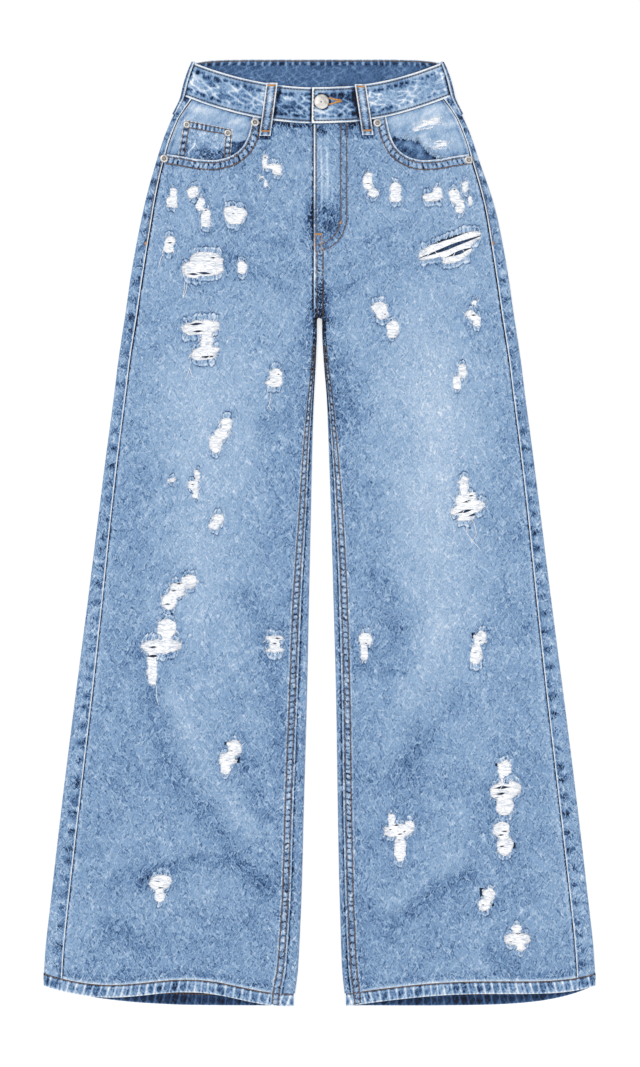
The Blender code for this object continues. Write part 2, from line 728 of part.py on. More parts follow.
for name, (x, y) in RIVETS.items():
    turned(name, RIVET_PROFILE, (x, y, seat_z(x, y, RIVET_R)), RIVET_SIDES, STEEL)
coin_profile = [(r * COIN_RIVET_SCALE, z * COIN_RIVET_SCALE) for r, z in RIVET_PROFILE]
for name, (x, y) in COIN_RIVETS.items():
    turned(name, coin_profile, (x, y, seat_z(x, y, RIVET_R) - COIN_DEPTH), RIVET_SIDES, STEEL)
x, y = BUTTON_AT
turned("button", BUTTON_PROFILE, (x, y, seat_z(x, y, BUTTON_R) + BAND + GAP), BUTTON_SIDES, STEEL)
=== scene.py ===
"""Looks of a pair of ripped wide-leg jeans, laid flat on their back.

Frame: X across the garment (the wearer's left leg at +X), Y up to the waist, Z up out
of the front. The garment's sizes are in millimetres and become metres in the meshes.
"""

import logging
import math
from contextlib import contextmanager
from dataclasses import dataclass
from enum import Enum
from typing import Iterator, Sequence

import bpy
import numpy as np
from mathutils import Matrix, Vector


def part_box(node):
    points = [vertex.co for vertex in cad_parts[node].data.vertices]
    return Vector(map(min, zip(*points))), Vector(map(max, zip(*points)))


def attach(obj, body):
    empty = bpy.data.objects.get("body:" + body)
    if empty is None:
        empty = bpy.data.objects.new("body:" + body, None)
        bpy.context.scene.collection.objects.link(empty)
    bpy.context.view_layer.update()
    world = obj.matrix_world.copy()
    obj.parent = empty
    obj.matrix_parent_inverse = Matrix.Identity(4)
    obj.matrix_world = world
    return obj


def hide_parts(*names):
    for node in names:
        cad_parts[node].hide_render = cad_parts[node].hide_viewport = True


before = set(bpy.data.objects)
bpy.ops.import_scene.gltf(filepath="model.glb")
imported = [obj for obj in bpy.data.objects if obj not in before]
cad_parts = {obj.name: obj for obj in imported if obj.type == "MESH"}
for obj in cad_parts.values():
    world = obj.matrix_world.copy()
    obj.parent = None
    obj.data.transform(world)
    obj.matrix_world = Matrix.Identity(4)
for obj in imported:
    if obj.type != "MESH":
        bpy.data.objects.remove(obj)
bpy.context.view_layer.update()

LOG = logging.getLogger("jeans")
MM = 0.001
FAR = 1e6  # millimetres, farther than anything here
WELD_REACH = 0.00002  # metres within which a ring's ends are merged
Table = np.ndarray
Point = tuple[float, float]
Piece = bpy.types.Object
Material = bpy.types.Material
Socket = bpy.types.NodeSocket


class Side(Enum):
    """A side of the wearer, valued by its sign along X."""

    RIGHT = -1
    LEFT = 1

    @property
    def word(self) -> str:
        """The side's name as the nodes spell it."""
        return self.name.lower()


# ---------------------------------------------------------------------------- numbers
def smooth(t: Table | float, start: float = 0.0, run: float = 1.0) -> Table:
    """An even step: 0 up to its start, 1 once its run is over, and an even curve between."""
    t = np.clip((t - start) / run, 0.0, 1.0)
    return t * t * (3 - 2 * t)


def bell(t: Table | float, middle: float = 0.0, width: float = 1.0) -> Table:
    """A bell curve: 1 at its middle and about a third once its width away."""
    return np.exp(-np.square((t - middle) / width))


def curve(knots: Sequence[float], values: Sequence[float], places: Table) -> Table:
    """Reads a smooth curve with no overshoot.

    Args:
        knots: Rising places of the curve's own points.
        values: Values at those places.
        places: Where to read it.

    Returns:
        The curve's values.
    """
    knots, values = np.asarray(knots, float), np.asarray(values, float)
    span = np.diff(knots)
    rise = np.diff(values) / span
    product = rise[:-1] * rise[1:]
    total = np.where(product > 0, rise[:-1] + rise[1:], 1.0)
    slope = np.concatenate([rise[:1], np.where(product > 0, 2 * product / total, 0.0), rise[-1:]])
    places = np.clip(places, knots[0], knots[-1])
    k = np.clip(np.searchsorted(knots, places, side="right") - 1, 0, len(span) - 1)
    t = (places - knots[k]) / span[k]
    start = (1 - t) ** 2 * ((1 + 2 * t) * values[k] + t * span[k] * slope[k])
    end = t * t * ((3 - 2 * t) * values[k + 1] + (t - 1) * span[k] * slope[k + 1])
    return start + end


def run_along(path: Table) -> Table:
    """Length of a path from its start to each of its points."""
    return np.concatenate([[0.0], np.cumsum(np.linalg.norm(np.diff(path, axis=0), axis=1))])


def along_path(points: Sequence[Point], step: float) -> Table:
    """Evenly spaced points on a smooth line.

    Args:
        points: The line's own points.
        step: Wanted spacing.

    Returns:
        An array of points, one row each.
    """
    own = np.asarray(points, float)
    run = run_along(own)
    count = max(2, int(round(run[-1] / step)) + 1)
    places = np.linspace(0.0, run[-1], count)
    return np.stack([curve(run, own[:, k], places) for k in range(own.shape[1])], axis=1)


def beside_path(path: Table, offset: Table | float) -> Table:
    """A line beside another: offset is to the left of its direction."""
    ahead = np.gradient(path[:, :2], axis=0)
    ahead /= np.linalg.norm(ahead, axis=1, keepdims=True)
    left = np.stack([-ahead[:, 1], ahead[:, 0]], axis=1)
    return path[:, :2] + np.reshape(offset, (-1, 1)) * left


def from_lines(along: Table, pitch: float) -> Table:
    """Distance to the nearest of some unevenly spaced lines, about one every pitch."""
    place = along / pitch + 0.42 * WANDER.at(along, 300.0, 2.3 * pitch)
    return np.abs(place - np.rint(place)) * pitch


def from_veins(x: Table, y: Table | float, size: float) -> Table:
    """Distance to the borders of some uneven cells.

    Args:
        x: Places across.
        y: Places up.
        size: Mean size of a cell.

    Returns:
        0 on a border, rising to about half the size in a cell.
    """
    u, v = np.broadcast_arrays(np.asarray(x, float) / size, np.asarray(y, float) / size)
    i, j = np.floor(u), np.floor(v)
    first, second = np.full(u.shape, 9.0), np.full(u.shape, 9.0)
    for di in (-1, 0, 1):
        for dj in (-1, 0, 1):
            a, b = (i + di).astype(int) % 128, (j + dj).astype(int) % 128
            cx = i + di + 0.5 + 0.42 * NOISE.lattice[a, b]
            cy = j + dj + 0.5 + 0.42 * WANDER.lattice[b, a]
            off = np.hypot(u - cx, v - cy)
            second = np.minimum(second, np.maximum(first, off))
            first = np.minimum(first, off)
    return (second - first) * size / 2


class Noise:
    """Seeded smooth noise over a plane."""

    CELLS = 128

    def __init__(self, seed: int) -> None:
        """Draws the noise's lattice of values."""
        self.lattice = np.random.default_rng(seed).uniform(-1, 1, (self.CELLS, self.CELLS))

    def at(self, x: Table, y: Table | float, size: float) -> Table:
        """Reads the noise.

        Args:
            x: Places across.
            y: Places up.
            size: Size of its patches.

        Returns:
            Values from -1 to 1.
        """
        u, v = np.asarray(x, float) / size, np.asarray(y, float) / size
        i, j = np.floor(u).astype(int), np.floor(v).astype(int)
        fu, fv = smooth(u - i), smooth(v - j)
        i0, i1, j0, j1 = i % self.CELLS, (i + 1) % self.CELLS, j % self.CELLS, (j + 1) % self.CELLS
        low = self.lattice[i0, j0] * (1 - fu) + self.lattice[i1, j0] * fu
        high = self.lattice[i0, j1] * (1 - fu) + self.lattice[i1, j1] * fu
        return low * (1 - fv) + high * fv


NOISE = Noise(11)
WANDER = Noise(23)


def puckers(along: Table, across: Table | float, pitch: float) -> Table:
    """Uneven gathers along a seam: about one every pitch, of uneven depth.

    Args:
        along: Places along the seam.
        across: Places across it, which let the gathers lean.
        pitch: Their mean spacing.

    Returns:
        Values from -1, in a hollow, to 1, on a crest.
    """
    shift = 0.35 * pitch * WANDER.at(along, across, 2.6 * pitch)
    depth = 0.65 + 0.35 * WANDER.at(along, 900.0, 1.7 * pitch)
    return depth * np.cos(2 * math.pi * (along + shift) / pitch)


# ------------------------------------------------------------------- how the cloth lies
@dataclass(frozen=True)
class Station:
    """Outline, seams and heights at one level of the cut cloth."""

    y: float
    half_width: float
    gap_right: float
    gap_left: float
    side_inset: float
    inset_right: float
    inset_left: float
    back_z: float
    front_z: float


STATIONS = tuple(Station(*row) for row in (
    (-507, 308.6, 29.0, 29.6, 20.5, 15.0, 7.4, 0.0, 6.8),
    (-492, 308.2, 27.4, 28.0, 20.5, 15.0, 7.4, 0.0, 6.8),
    (-468, 306.8, 23.8, 25.0, 20.5, 13.6, 7.0, 0.0, 6.2),
    (-412, 300.7, 20.4, 22.6, 20.2, 12.2, 6.2, 0.0, 5.6),
    (-300, 287.8, 17.4, 20.3, 20.0, 11.6, 6.2, 0.0, 5.6),
    (-188, 273.8, 14.2, 18.6, 19.0, 10.5, 6.3, 0.0, 5.6),
    (-76, 259.3, 11.8, 15.6, 16.6, 8.6, 6.3, 0.0, 5.6),
    (36, 245.3, 9.4, 12.4, 14.2, 4.8, 4.8, 0.0, 5.6),
    (92, 238.2, 8.2, 10.4, 13.6, 3.6, 3.6, 0.0, 5.7),
    (148, 230.7, 6.4, 8.2, 13.2, 1.9, 1.9, 0.0, 5.8),
    (193, 225.1, 4.0, 4.6, 13.2, 1.1, 1.1, 0.0, 6.4),
    (228, 219.8, 2.8, 2.8, 13.3, 0.9, 0.9, 0.8, 7.4),
    (240, 217.8, 2.8, 2.8, 13.3, 0.9, 0.9, 1.6, 7.8),
    (283, 211.7, 0.15, 0.15, 13.4, 0.9, 0.9, 1.6, 7.9),
    (328, 203.8, 0.15, 0.15, 12.6, 0.9, 0.9, 1.6, 7.9),
    (372, 194.3, 0.15, 0.15, 10.6, 0.9, 0.9, 1.6, 7.9),
    (417, 181.0, 0.15, 0.15, 8.0, 0.9, 0.9, 1.6, 7.9),
    (440, 173.6, 0.15, 0.15, 7.4, 0.9, 0.9, 2.2, 8.6),
    (462, 164.5, 0.15, 0.15, 7.4, 0.9, 0.9, 2.6, 9.2),
    (475, 157.5, 0.15, 0.15, 8.5, 0.9, 0.9, 2.6, 9.2),
    (488, 151.0, 0.15, 0.15, 9.0, 0.9, 0.9, 2.6, 9.2),
    (507, 146.0, 0.15, 0.15, 9.0, 0.9, 0.9, 2.6, 9.2),
    (520, 142.0, 0.15, 0.15, 9.0, 0.9, 0.9, 2.6, 9.2),
    (530, 138.5, 0.15, 0.15, 9.0, 0.9, 0.9, 2.6, 9.2),
))


@dataclass(frozen=True)
class Crease:
    """A soft ridge (height above 0) or trough along a line, and its tone: paler on a ridge and darker in a
    trough, painted light and shade of the fold along with the dye's fading.
    """

    points: tuple[Point, ...]
    width: float
    height: float
    tone: float

    def strength(self, x: Table, y: Table) -> Table:
        """How strongly the crease shows.

        Args:
            x: Places across.
            y: Places up.

        Returns:
            1 on its line, fading over its width and towards its ends.
        """
        own = np.asarray(self.points, float)
        legs = np.linalg.norm(np.diff(own, axis=0), axis=1)
        total, before = legs.sum(), 0.0
        best, place = np.full(np.shape(x), np.inf), np.zeros(np.shape(x))
        for (ax, ay), (bx, by), leg in zip(own, own[1:], legs):
            t = np.clip(((x - ax) * (bx - ax) + (y - ay) * (by - ay)) / leg**2, 0, 1)
            off = np.hypot(x - ax - t * (bx - ax), y - ay - t * (by - ay))
            nearer = off < best
            best, place = np.where(nearer, off, best), np.where(nearer, before + t * leg, place)
            before += leg
        ends = smooth(place / (1.6 * self.width)) * smooth((total - place) / (1.6 * self.width))
        return ends * bell(best / self.width)


CREASES = tuple(Crease(*row) for row in (
    # the right leg
    (((-180, -160), (-117, -270), (-66, -352)), 15, 4.2, 0.10),
    (((-92, -56), (-63, -98), (-50, -180), (-40, -245)), 11, -1.6, -0.07),
    (((-194, -168), (-162, -272), (-118, -330), (-84, -376)), 13, -2.4, -0.08),
    (((-206, -392), (-172, -377), (-135, -366), (-98, -366), (-69, -387), (-48, -414)), 10, -2.4, -0.115),
    (((-240, -385), (-196, -388), (-160, -376)), 10, -1.2, -0.08),
    (((-200, -420), (-150, -408), (-112, -398)), 11, 1.8, 0.05),
    (((-250, -428), (-215, -450), (-176, -466)), 10, -1.8, -0.10),
    (((-96, -425), (-58, -452)), 9, -1.2, -0.08),
    (((-102, -218), (-55, -333)), 9, -1.2, -0.08),
    (((-60, 150), (-44, 60), (-52, -40)), 16, -0.8, -0.06),
    # the left leg
    (((18, 200), (50, 70), (95, -125)), 17, -1.4, -0.04),
    (((142, -85), (62, -272)), 15, 4.2, 0.09),
    (((176, -164), (108, -246), (74, -294)), 13, -2.2, -0.08),
    (((66, -430), (100, -400), (172, -354)), 12, 3.0, 0.06),
    (((62, -452), (94, -428), (134, -398), (186, -378)), 11, -2.6, -0.12),
    (((178, -462), (232, -482)), 9, -1.4, -0.09),
    (((60, -30), (76, -84), (98, -134)), 14, -1.2, -0.065),
    # from the fork and across the hips
    (((-14, 262), (-70, 290), (-150, 298)), 7, -0.7, -0.05),
    (((2, 262), (70, 294), (150, 306)), 7, -0.7, -0.05),
    (((-16, 290), (-70, 312), (-150, 318)), 5, -0.5, -0.04),
    (((20, 292), (80, 318), (130, 322)), 5, -0.5, -0.04),
    (((-20, 316), (-90, 336), (-150, 336)), 6, -0.6, -0.05),
    (((26, 318), (90, 340), (160, 342)), 6, -0.6, -0.05),
    (((-24, 346), (-80, 360), (-140, 356)), 5, -0.4, -0.04),
    (((-10, 236), (-36, 190), (-44, 110)), 10, -0.6, -0.04),
    (((8, 236), (34, 190), (44, 110)), 10, -0.5, -0.03),
    (((-24, 236), (-70, 170), (-84, 90)), 12, 0.7, 0.04),
    (((24, 236), (70, 170), (84, 90)), 12, 0.7, 0.04),
))


@dataclass(frozen=True)
class Worn:
    """An oval of changed tone: paler where the dye is rubbed (tone above 0), darker where it stays dark, and
    some rows are painted shade.
    """

    x: float
    y: float
    half_width: float
    half_height: float
    tone: float

    def at(self, x: Table, y: Table) -> Table:
        """The change of tone at some places."""
        return self.tone * bell(np.hypot((x - self.x) / self.half_width, (y - self.y) / self.half_height))


WEAR_AND_SHADE = tuple(Worn(*row) for row in (
    (-126, 90, 52, 135, 0.15),
    (-132, -130, 46, 130, 0.07),
    (129, 95, 50, 185, 0.19),
    (140, -120, 46, 110, 0.05),
    (88, 330, 60, 40, -0.01),
    # these five rows are painted shade: at the pocket mouths, beside the fly's edge and just under the
    # waistband
    (-89, 430, 22, 26, -0.12),
    (101, 430, 22, 22, -0.08),
    (-10, 352, 6, 22, -0.30),
    (-40, 460, 20, 14, -0.16),
    (34, 458, 13, 18, -0.22),
    (-165, 350, 40, 50, 0.04),
    (160, 370, 36, 36, 0.04),
    (-205, -312, 32, 28, 0.04),
    (95, -225, 48, 100, -0.025),
    (-215, 60, 40, 240, -0.03),
    (205, 0, 40, 160, -0.03),
    (-85, -52, 30, 26, -0.06),
    (85, -140, 36, 36, -0.05),
))


LOOP_REACH = 6.3  # half of a belt loop's width, beyond which it shades the cloth
LOOPS = {Side.RIGHT: ((-53.0, 502.0), (-61.0, 443.0)), Side.LEFT: ((45.5, 500.5), (54.0, 444.0))}


class Lie:
    """How the whole garment lies: its outline, heights, folds, and its tone, faded dye with painted light and
    shade.
    """

    EDGE = 4.2
    CROTCH = 240.0
    FOLD_START = 12.0
    FLY_X = -6.5
    FLY_WIDTH = 35.0
    HEM_CORNER = -506.5
    HEM_DROP = 23.0
    HEM_DEPTH = 14.0
    HEM_REACH = 70.0
    HEM_ARCH = (5.0, 4.2)
    HEM_LIFT = (16.0, 14.0)
    HEM_BOW = (1.3, 0.95)
    HEM_PEAK = (2.4, 1.0)
    HEM_TURN = (4.0, 6.0)
    WAIST_TOP = 525.0
    WAIST_BOTTOM = 488.0
    WAIST_HALF = 150.0
    YOKE_SIDE = 461.0
    YOKE_CENTRE = 415.0
    GAP = 0.3
    SEAM_GAP = 0.45
    HALF_SEAM = 0.15
    TO_CROTCH = 1.5
    DENIM = 1.3
    BAND = 2.4

    def __init__(self) -> None:
        """Reads the stations and the folds into fine tables."""
        self.levels = np.arange(-560.0, 545.0, 0.5)
        knots = [s.y for s in STATIONS]
        self.fine = {
            name: curve(knots, [getattr(s, name) for s in STATIONS], self.levels)
            for name in Station.__dataclass_fields__ if name != "y"
        }
        x, y = np.meshgrid(np.arange(-324.0, 325.0, 2.0), np.arange(-540.0, 541.0, 2.0))
        folds = [(c, c.strength(x, y)) for c in CREASES]
        self.fold_height = sum(c.height * strength for c, strength in folds)
        self.fold_tone = sum(c.tone * strength for c, strength in folds) + sum(w.at(x, y) for w in WEAR_AND_SHADE)

    def folded(self, table: Table, x: Table, y: Table) -> Table:
        """Reads a table of the folds between its points."""
        u = np.clip((np.nan_to_num(x) + 324) / 2, 0, table.shape[1] - 1.001)
        v = np.clip((np.nan_to_num(y) + 540) / 2, 0, table.shape[0] - 1.001)
        i, j = u.astype(int), v.astype(int)
        low = table[j, i] * (1 - u + i) + table[j, i + 1] * (u - i)
        high = table[j + 1, i] * (1 - u + i) + table[j + 1, i + 1] * (u - i)
        return low * (1 - v + j) + high * (v - j)

    def read(self, name: str, y: Table | float) -> Table:
        """A column of the stations at some levels."""
        return np.interp(y, self.levels, self.fine[name])

    def rounded(self, inside: Table) -> Table:
        """Height of a quarter curve: 0 on a fold, 1 once EDGE inside it."""
        t = 1 - np.clip(inside, 0, self.EDGE) / self.EDGE
        return np.sqrt(1 - t * t)

    def insides(self, x: Table, y: Table) -> tuple[Table, Table]:
        """Distances inside the outer fold and inside the inner fold of a leg."""
        inner = np.where(y < self.CROTCH, np.abs(x) - self.gap(x, y), 400.0)
        return self.read("half_width", y) - np.abs(x), inner

    def roundness(self, x: Table, y: Table) -> Table:
        """0 on the garment's folded edges and 1 away from them."""
        outer = self.read("half_width", y) - np.abs(x)
        inner = np.abs(x) - self.gap(x, y)
        formed = smooth((self.CROTCH - y) / self.FOLD_START)
        return np.minimum(self.rounded(outer), 1 + formed * (self.rounded(inner) - 1))

    def across_leg(self, x: Table, y: Table) -> Table:
        """Part of the way across a leg, from 0 on its outer fold to 1 on its inner fold."""
        wide, gap = self.read("half_width", y), self.gap(x, y)
        return np.clip((wide - np.abs(x)) / (wide - gap), 0, 1)

    def arch(self, x: Table, y: Table) -> Table:
        """0 to 1: how far the hem's front is lifted off the back."""
        part = self.across_leg(x, y)
        bow = np.sin(math.pi * part ** self.by_side(x, self.HEM_BOW))
        return np.maximum(0, bow) ** self.by_side(x, self.HEM_PEAK)

    def near_hem(self, y: Table) -> Table:
        """1 at the hem, and 0 once HEM_REACH above it."""
        return 1 - smooth((y - self.HEM_CORNER - self.HEM_DEPTH) / self.HEM_REACH)

    def by_side(self, x: Table, values: tuple) -> Table:
        """The right side's value or the left side's, as each place has it."""
        return np.where(np.asarray(x) < 0, values[0], values[1])

    def gap(self, x: Table, y: Table) -> Table:
        """Distance of a leg's inner edge from the middle."""
        return self.by_side(x, (self.read("gap_right", y), self.read("gap_left", y)))

    def inset(self, x: Table, y: Table) -> Table:
        """Distance of the inseam from a leg's inner edge."""
        return self.by_side(x, (self.read("inset_right", y), self.read("inset_left", y)))

    def relief(self, x: Table, y: Table) -> Table:
        """How far the front stands above its edges."""
        outer, inner = self.insides(x, y)
        inside = smooth(np.minimum(outer, inner) / 24.0)
        total = (0.8 * smooth((self.CROTCH - y) / 60) + self.folded(self.fold_height, x, y)
                 + 0.45 * NOISE.at(x, y, 34) + 0.22 * NOISE.at(x + 500, y, 13))
        return total * inside + self.by_side(x, self.HEM_ARCH) * self.arch(x, y) * self.near_hem(y)

    def front_z(self, x: Table, y: Table) -> Table:
        """Height of the front's outer face."""
        low, high = self.read("back_z", y), self.read("front_z", y)
        middle = (low + high) / 2
        return middle + (high - middle) * self.roundness(x, y) + self.relief(x, y) + self.fly_step(x, y)

    def back_z(self, x: Table, y: Table) -> Table:
        """Height of the back's outer face, the underside."""
        low, high = self.read("back_z", y), self.read("front_z", y)
        middle = (low + high) / 2
        rise = 0.9 * np.maximum(0, NOISE.at(x - 300, y * 0.6, 30)) * self.roundness(x, y)
        return middle - (middle - low) * self.roundness(x, y) + rise

    def fly_step(self, x: Table, y: Table) -> Table:
        """The left front is doubled at the fly, so it stands higher there."""
        on_left = smooth((np.asarray(x) - self.FLY_X) / 0.2)
        beside = smooth((self.FLY_X + self.FLY_WIDTH + 10 - x) / 12)
        return on_left * beside * smooth((y - self.CROTCH) / 18)

    def shift(self, x: Table, y: Table, front: bool) -> Table:
        """How far the hem's slant and the front's lift move a place up or down."""
        part = self.across_leg(x, y)
        slant = self.HEM_DROP * (1 - (1 - part) ** self.by_side(x, self.HEM_TURN))
        lift = self.by_side(x, self.HEM_LIFT) * self.arch(x, y) if front else 0.0
        return (lift - slant) * self.near_hem(y)

    def on_front(self, x: Table, y: Table, out: Table | float = 0.0) -> Table:
        """Points of the front's outer face (x, y, z on the last axis), moved out (up) by out."""
        return np.stack([x, y + self.shift(x, y, True), self.front_z(x, y) + out], axis=-1)

    def on_back(self, x: Table, y: Table, out: Table | float = 0.0) -> Table:
        """Points of the back's outer face, moved out (down) by out."""
        return np.stack([x, y + self.shift(x, y, False), self.back_z(x, y) - out], axis=-1)

    def waist_seam(self, x: Table, front: bool = True) -> Table:
        """Level where the panels end, just below the waistband."""
        return self.waist(x, front, False) - self.SEAM_GAP

    def waist(self, x: Table, front: bool = True, top: bool = False) -> Table:
        """Level of the waistband's top or bottom edge."""
        part = np.minimum(1.0, np.abs(x) / self.WAIST_HALF)
        side = self.WAIST_TOP if top else self.WAIST_BOTTOM
        if front:
            return side - (28.0 if top else 31.0) * (1 - part**2)
        return side + (4.5 if top else 2.0) * (1 - part**8)

    def side_seam(self, side: Side, y: Table) -> Table:
        """The side seam's place across at some levels."""
        return side.value * (self.read("half_width", y) - self.read("side_inset", y))

    def inseam(self, side: Side, y: Table) -> Table:
        """The inseam's place across at some levels."""
        return side.value * (self.gap(side.value, y) + self.inset(side.value, y))

    def tone(self, x: Table, y: Table) -> Table:
        """How pale the front is, 0 dark, 0.5 as washed, 1 worn white: dye wear, with painted light and shade
        of the creases and painted shade by the crotch, at the fork and beside the belt loops.
        """
        inner = self.insides(x, y)[1]
        low_leg = smooth((-60 - y) / 200)
        total = (0.49 + self.folded(self.fold_tone, x, y) - 0.08 * bell(inner / 20)
                 - low_leg * (0.022 + 0.02 * bell(inner / 50))
                 # painted shade along the inner folds near the crotch
                 - 0.34 * bell(inner / 2.6) * smooth(y, 110, 70))
        # painted shade at the fork
        fork = bell((x - 0.5) / (2.5 + np.maximum(0, 296 - y) * 0.17))
        total = total - 0.34 * fork * smooth((294 - y) / 34) * smooth(y - self.CROTCH, -14, 14)
        # painted shadow on the cloth beside the belt loops
        for (top_x, top_y), (low_x, low_y) in LOOPS.values():
            part = np.clip((y - low_y) / (top_y - low_y), -0.08, 1)
            beside = np.maximum(0, np.abs(x - low_x - (top_x - low_x) * part) - LOOP_REACH)
            total = total - 0.36 * bell(beside / 2.4) * (y > low_y - 4)
        return total + 0.03 * NOISE.at(x, y, 45) + 0.035 * NOISE.at(x + 200, y, 17)


LIE = Lie()


# --------------------------------------------------------------------- mesh by hand
def deselect() -> None:
    """Deselects every object, so that an operator acts on the new one alone."""
    bpy.ops.object.select_all(action="DESELECT")


def activate(obj: Piece) -> None:
    """Makes an object the only one that operators act on."""
    deselect()
    obj.select_set(True)
    bpy.context.view_layer.objects.active = obj


@contextmanager
def edit_mode() -> Iterator[None]:
    """Holds the active object in edit mode."""
    bpy.ops.object.mode_set(mode="EDIT")
    yield
    bpy.ops.object.mode_set(mode="OBJECT")


def finish_mesh(obj: Piece, name: str, *materials: Material) -> None:
    """Names an object and its mesh and gives it its materials."""
    obj.name = name
    obj.data.name = name
    obj.data.materials.clear()
    for material in materials:
        obj.data.materials.append(material)


def cloth_grid(name: str, points: Table, layers: dict[str, Table], closed: bool = False) -> Piece:
    """Lays a grid primitive through a table of points.

    Args:
        name: The object's name.
        points: Rows of points in millimetres; a row's not-a-number points are left out.
        layers: Values that the finish reads at each point, by name.
        closed: Whether each row's last point repeats its first, as on a ring.

    Returns:
        The object, one layer thick, its faces as the table turns.
    """
    rows, columns, _ = points.shape
    deselect()
    bpy.ops.mesh.primitive_grid_add(x_subdivisions=columns - 1, y_subdivisions=rows - 1, size=1.0)
    obj = bpy.context.active_object
    mesh = obj.data
    flat = np.empty(len(mesh.vertices) * 3, dtype=np.float32)
    mesh.vertices.foreach_get("co", flat)
    own = flat.reshape(-1, 3)
    column = np.rint((own[:, 0] + 0.5) * (columns - 1)).astype(int)
    row = np.rint((own[:, 1] + 0.5) * (rows - 1)).astype(int)
    moved = points[row, column] * MM
    left_out = np.isnan(moved).any(axis=1)
    mesh.vertices.foreach_set("co", np.nan_to_num(moved).astype(np.float32).ravel())
    for word, values in layers.items():
        layer = mesh.attributes.new(word, "FLOAT", "POINT")
        layer.data.foreach_set("value", np.nan_to_num(values[row, column]).astype(np.float32))
    if left_out.any():
        remove_vertices(obj, left_out)
    if closed:
        with edit_mode():
            bpy.ops.mesh.select_all(action="SELECT")
            bpy.ops.mesh.remove_doubles(threshold=WELD_REACH)
    finish_mesh(obj, name)
    return obj


def select_vertices(obj: Piece, chosen: Table) -> None:
    """Selects some vertices of an object, and the faces that they make up."""
    mesh = obj.data
    mesh.vertices.foreach_set("select", chosen)
    first = np.zeros(len(mesh.loops), dtype=np.int32)
    mesh.loops.foreach_get("vertex_index", first)
    starts = np.zeros(len(mesh.polygons), dtype=np.int32)
    mesh.polygons.foreach_get("loop_start", starts)
    mesh.polygons.foreach_set("select", np.logical_and.reduceat(chosen[first], starts))
    ends = np.zeros(len(mesh.edges) * 2, dtype=np.int32)
    mesh.edges.foreach_get("vertices", ends)
    mesh.edges.foreach_set("select", chosen[ends].reshape(-1, 2).all(axis=1))


def remove_vertices(obj: Piece, chosen: Table) -> None:
    """Deletes some vertices of an object, with the faces on them."""
    select_vertices(obj, chosen)
    with edit_mode():
        bpy.ops.mesh.select_mode(type="VERT")
        bpy.ops.mesh.delete(type="VERT")


def give_wall(obj: Piece, wall: float, outer: Material, inner: Material) -> None:
    """Gives a one-layer sheet its wall, inwards from its outer face, and its materials.

    Args:
        obj: The sheet.
        wall: Its thickness in millimetres.
        outer: Material of its outer face and its rims.
        inner: Material of its inner face.
    """
    finish_mesh(obj, obj.name, outer, inner)
    solid = obj.modifiers.new("wall", "SOLIDIFY")
    solid.thickness = wall * MM
    solid.offset = -1.0
    solid.material_offset = 1
    solid.material_offset_rim = 0
    activate(obj)
    bpy.ops.object.modifier_apply(modifier=solid.name)
    bpy.ops.object.shade_smooth_by_angle(angle=math.radians(50))


def vertex_places(obj: Piece) -> Table:
    """An object's vertices in millimetres, one row each."""
    flat = np.empty(len(obj.data.vertices) * 3, dtype=np.float32)
    obj.data.vertices.foreach_get("co", flat)
    return flat.reshape(-1, 3) / MM


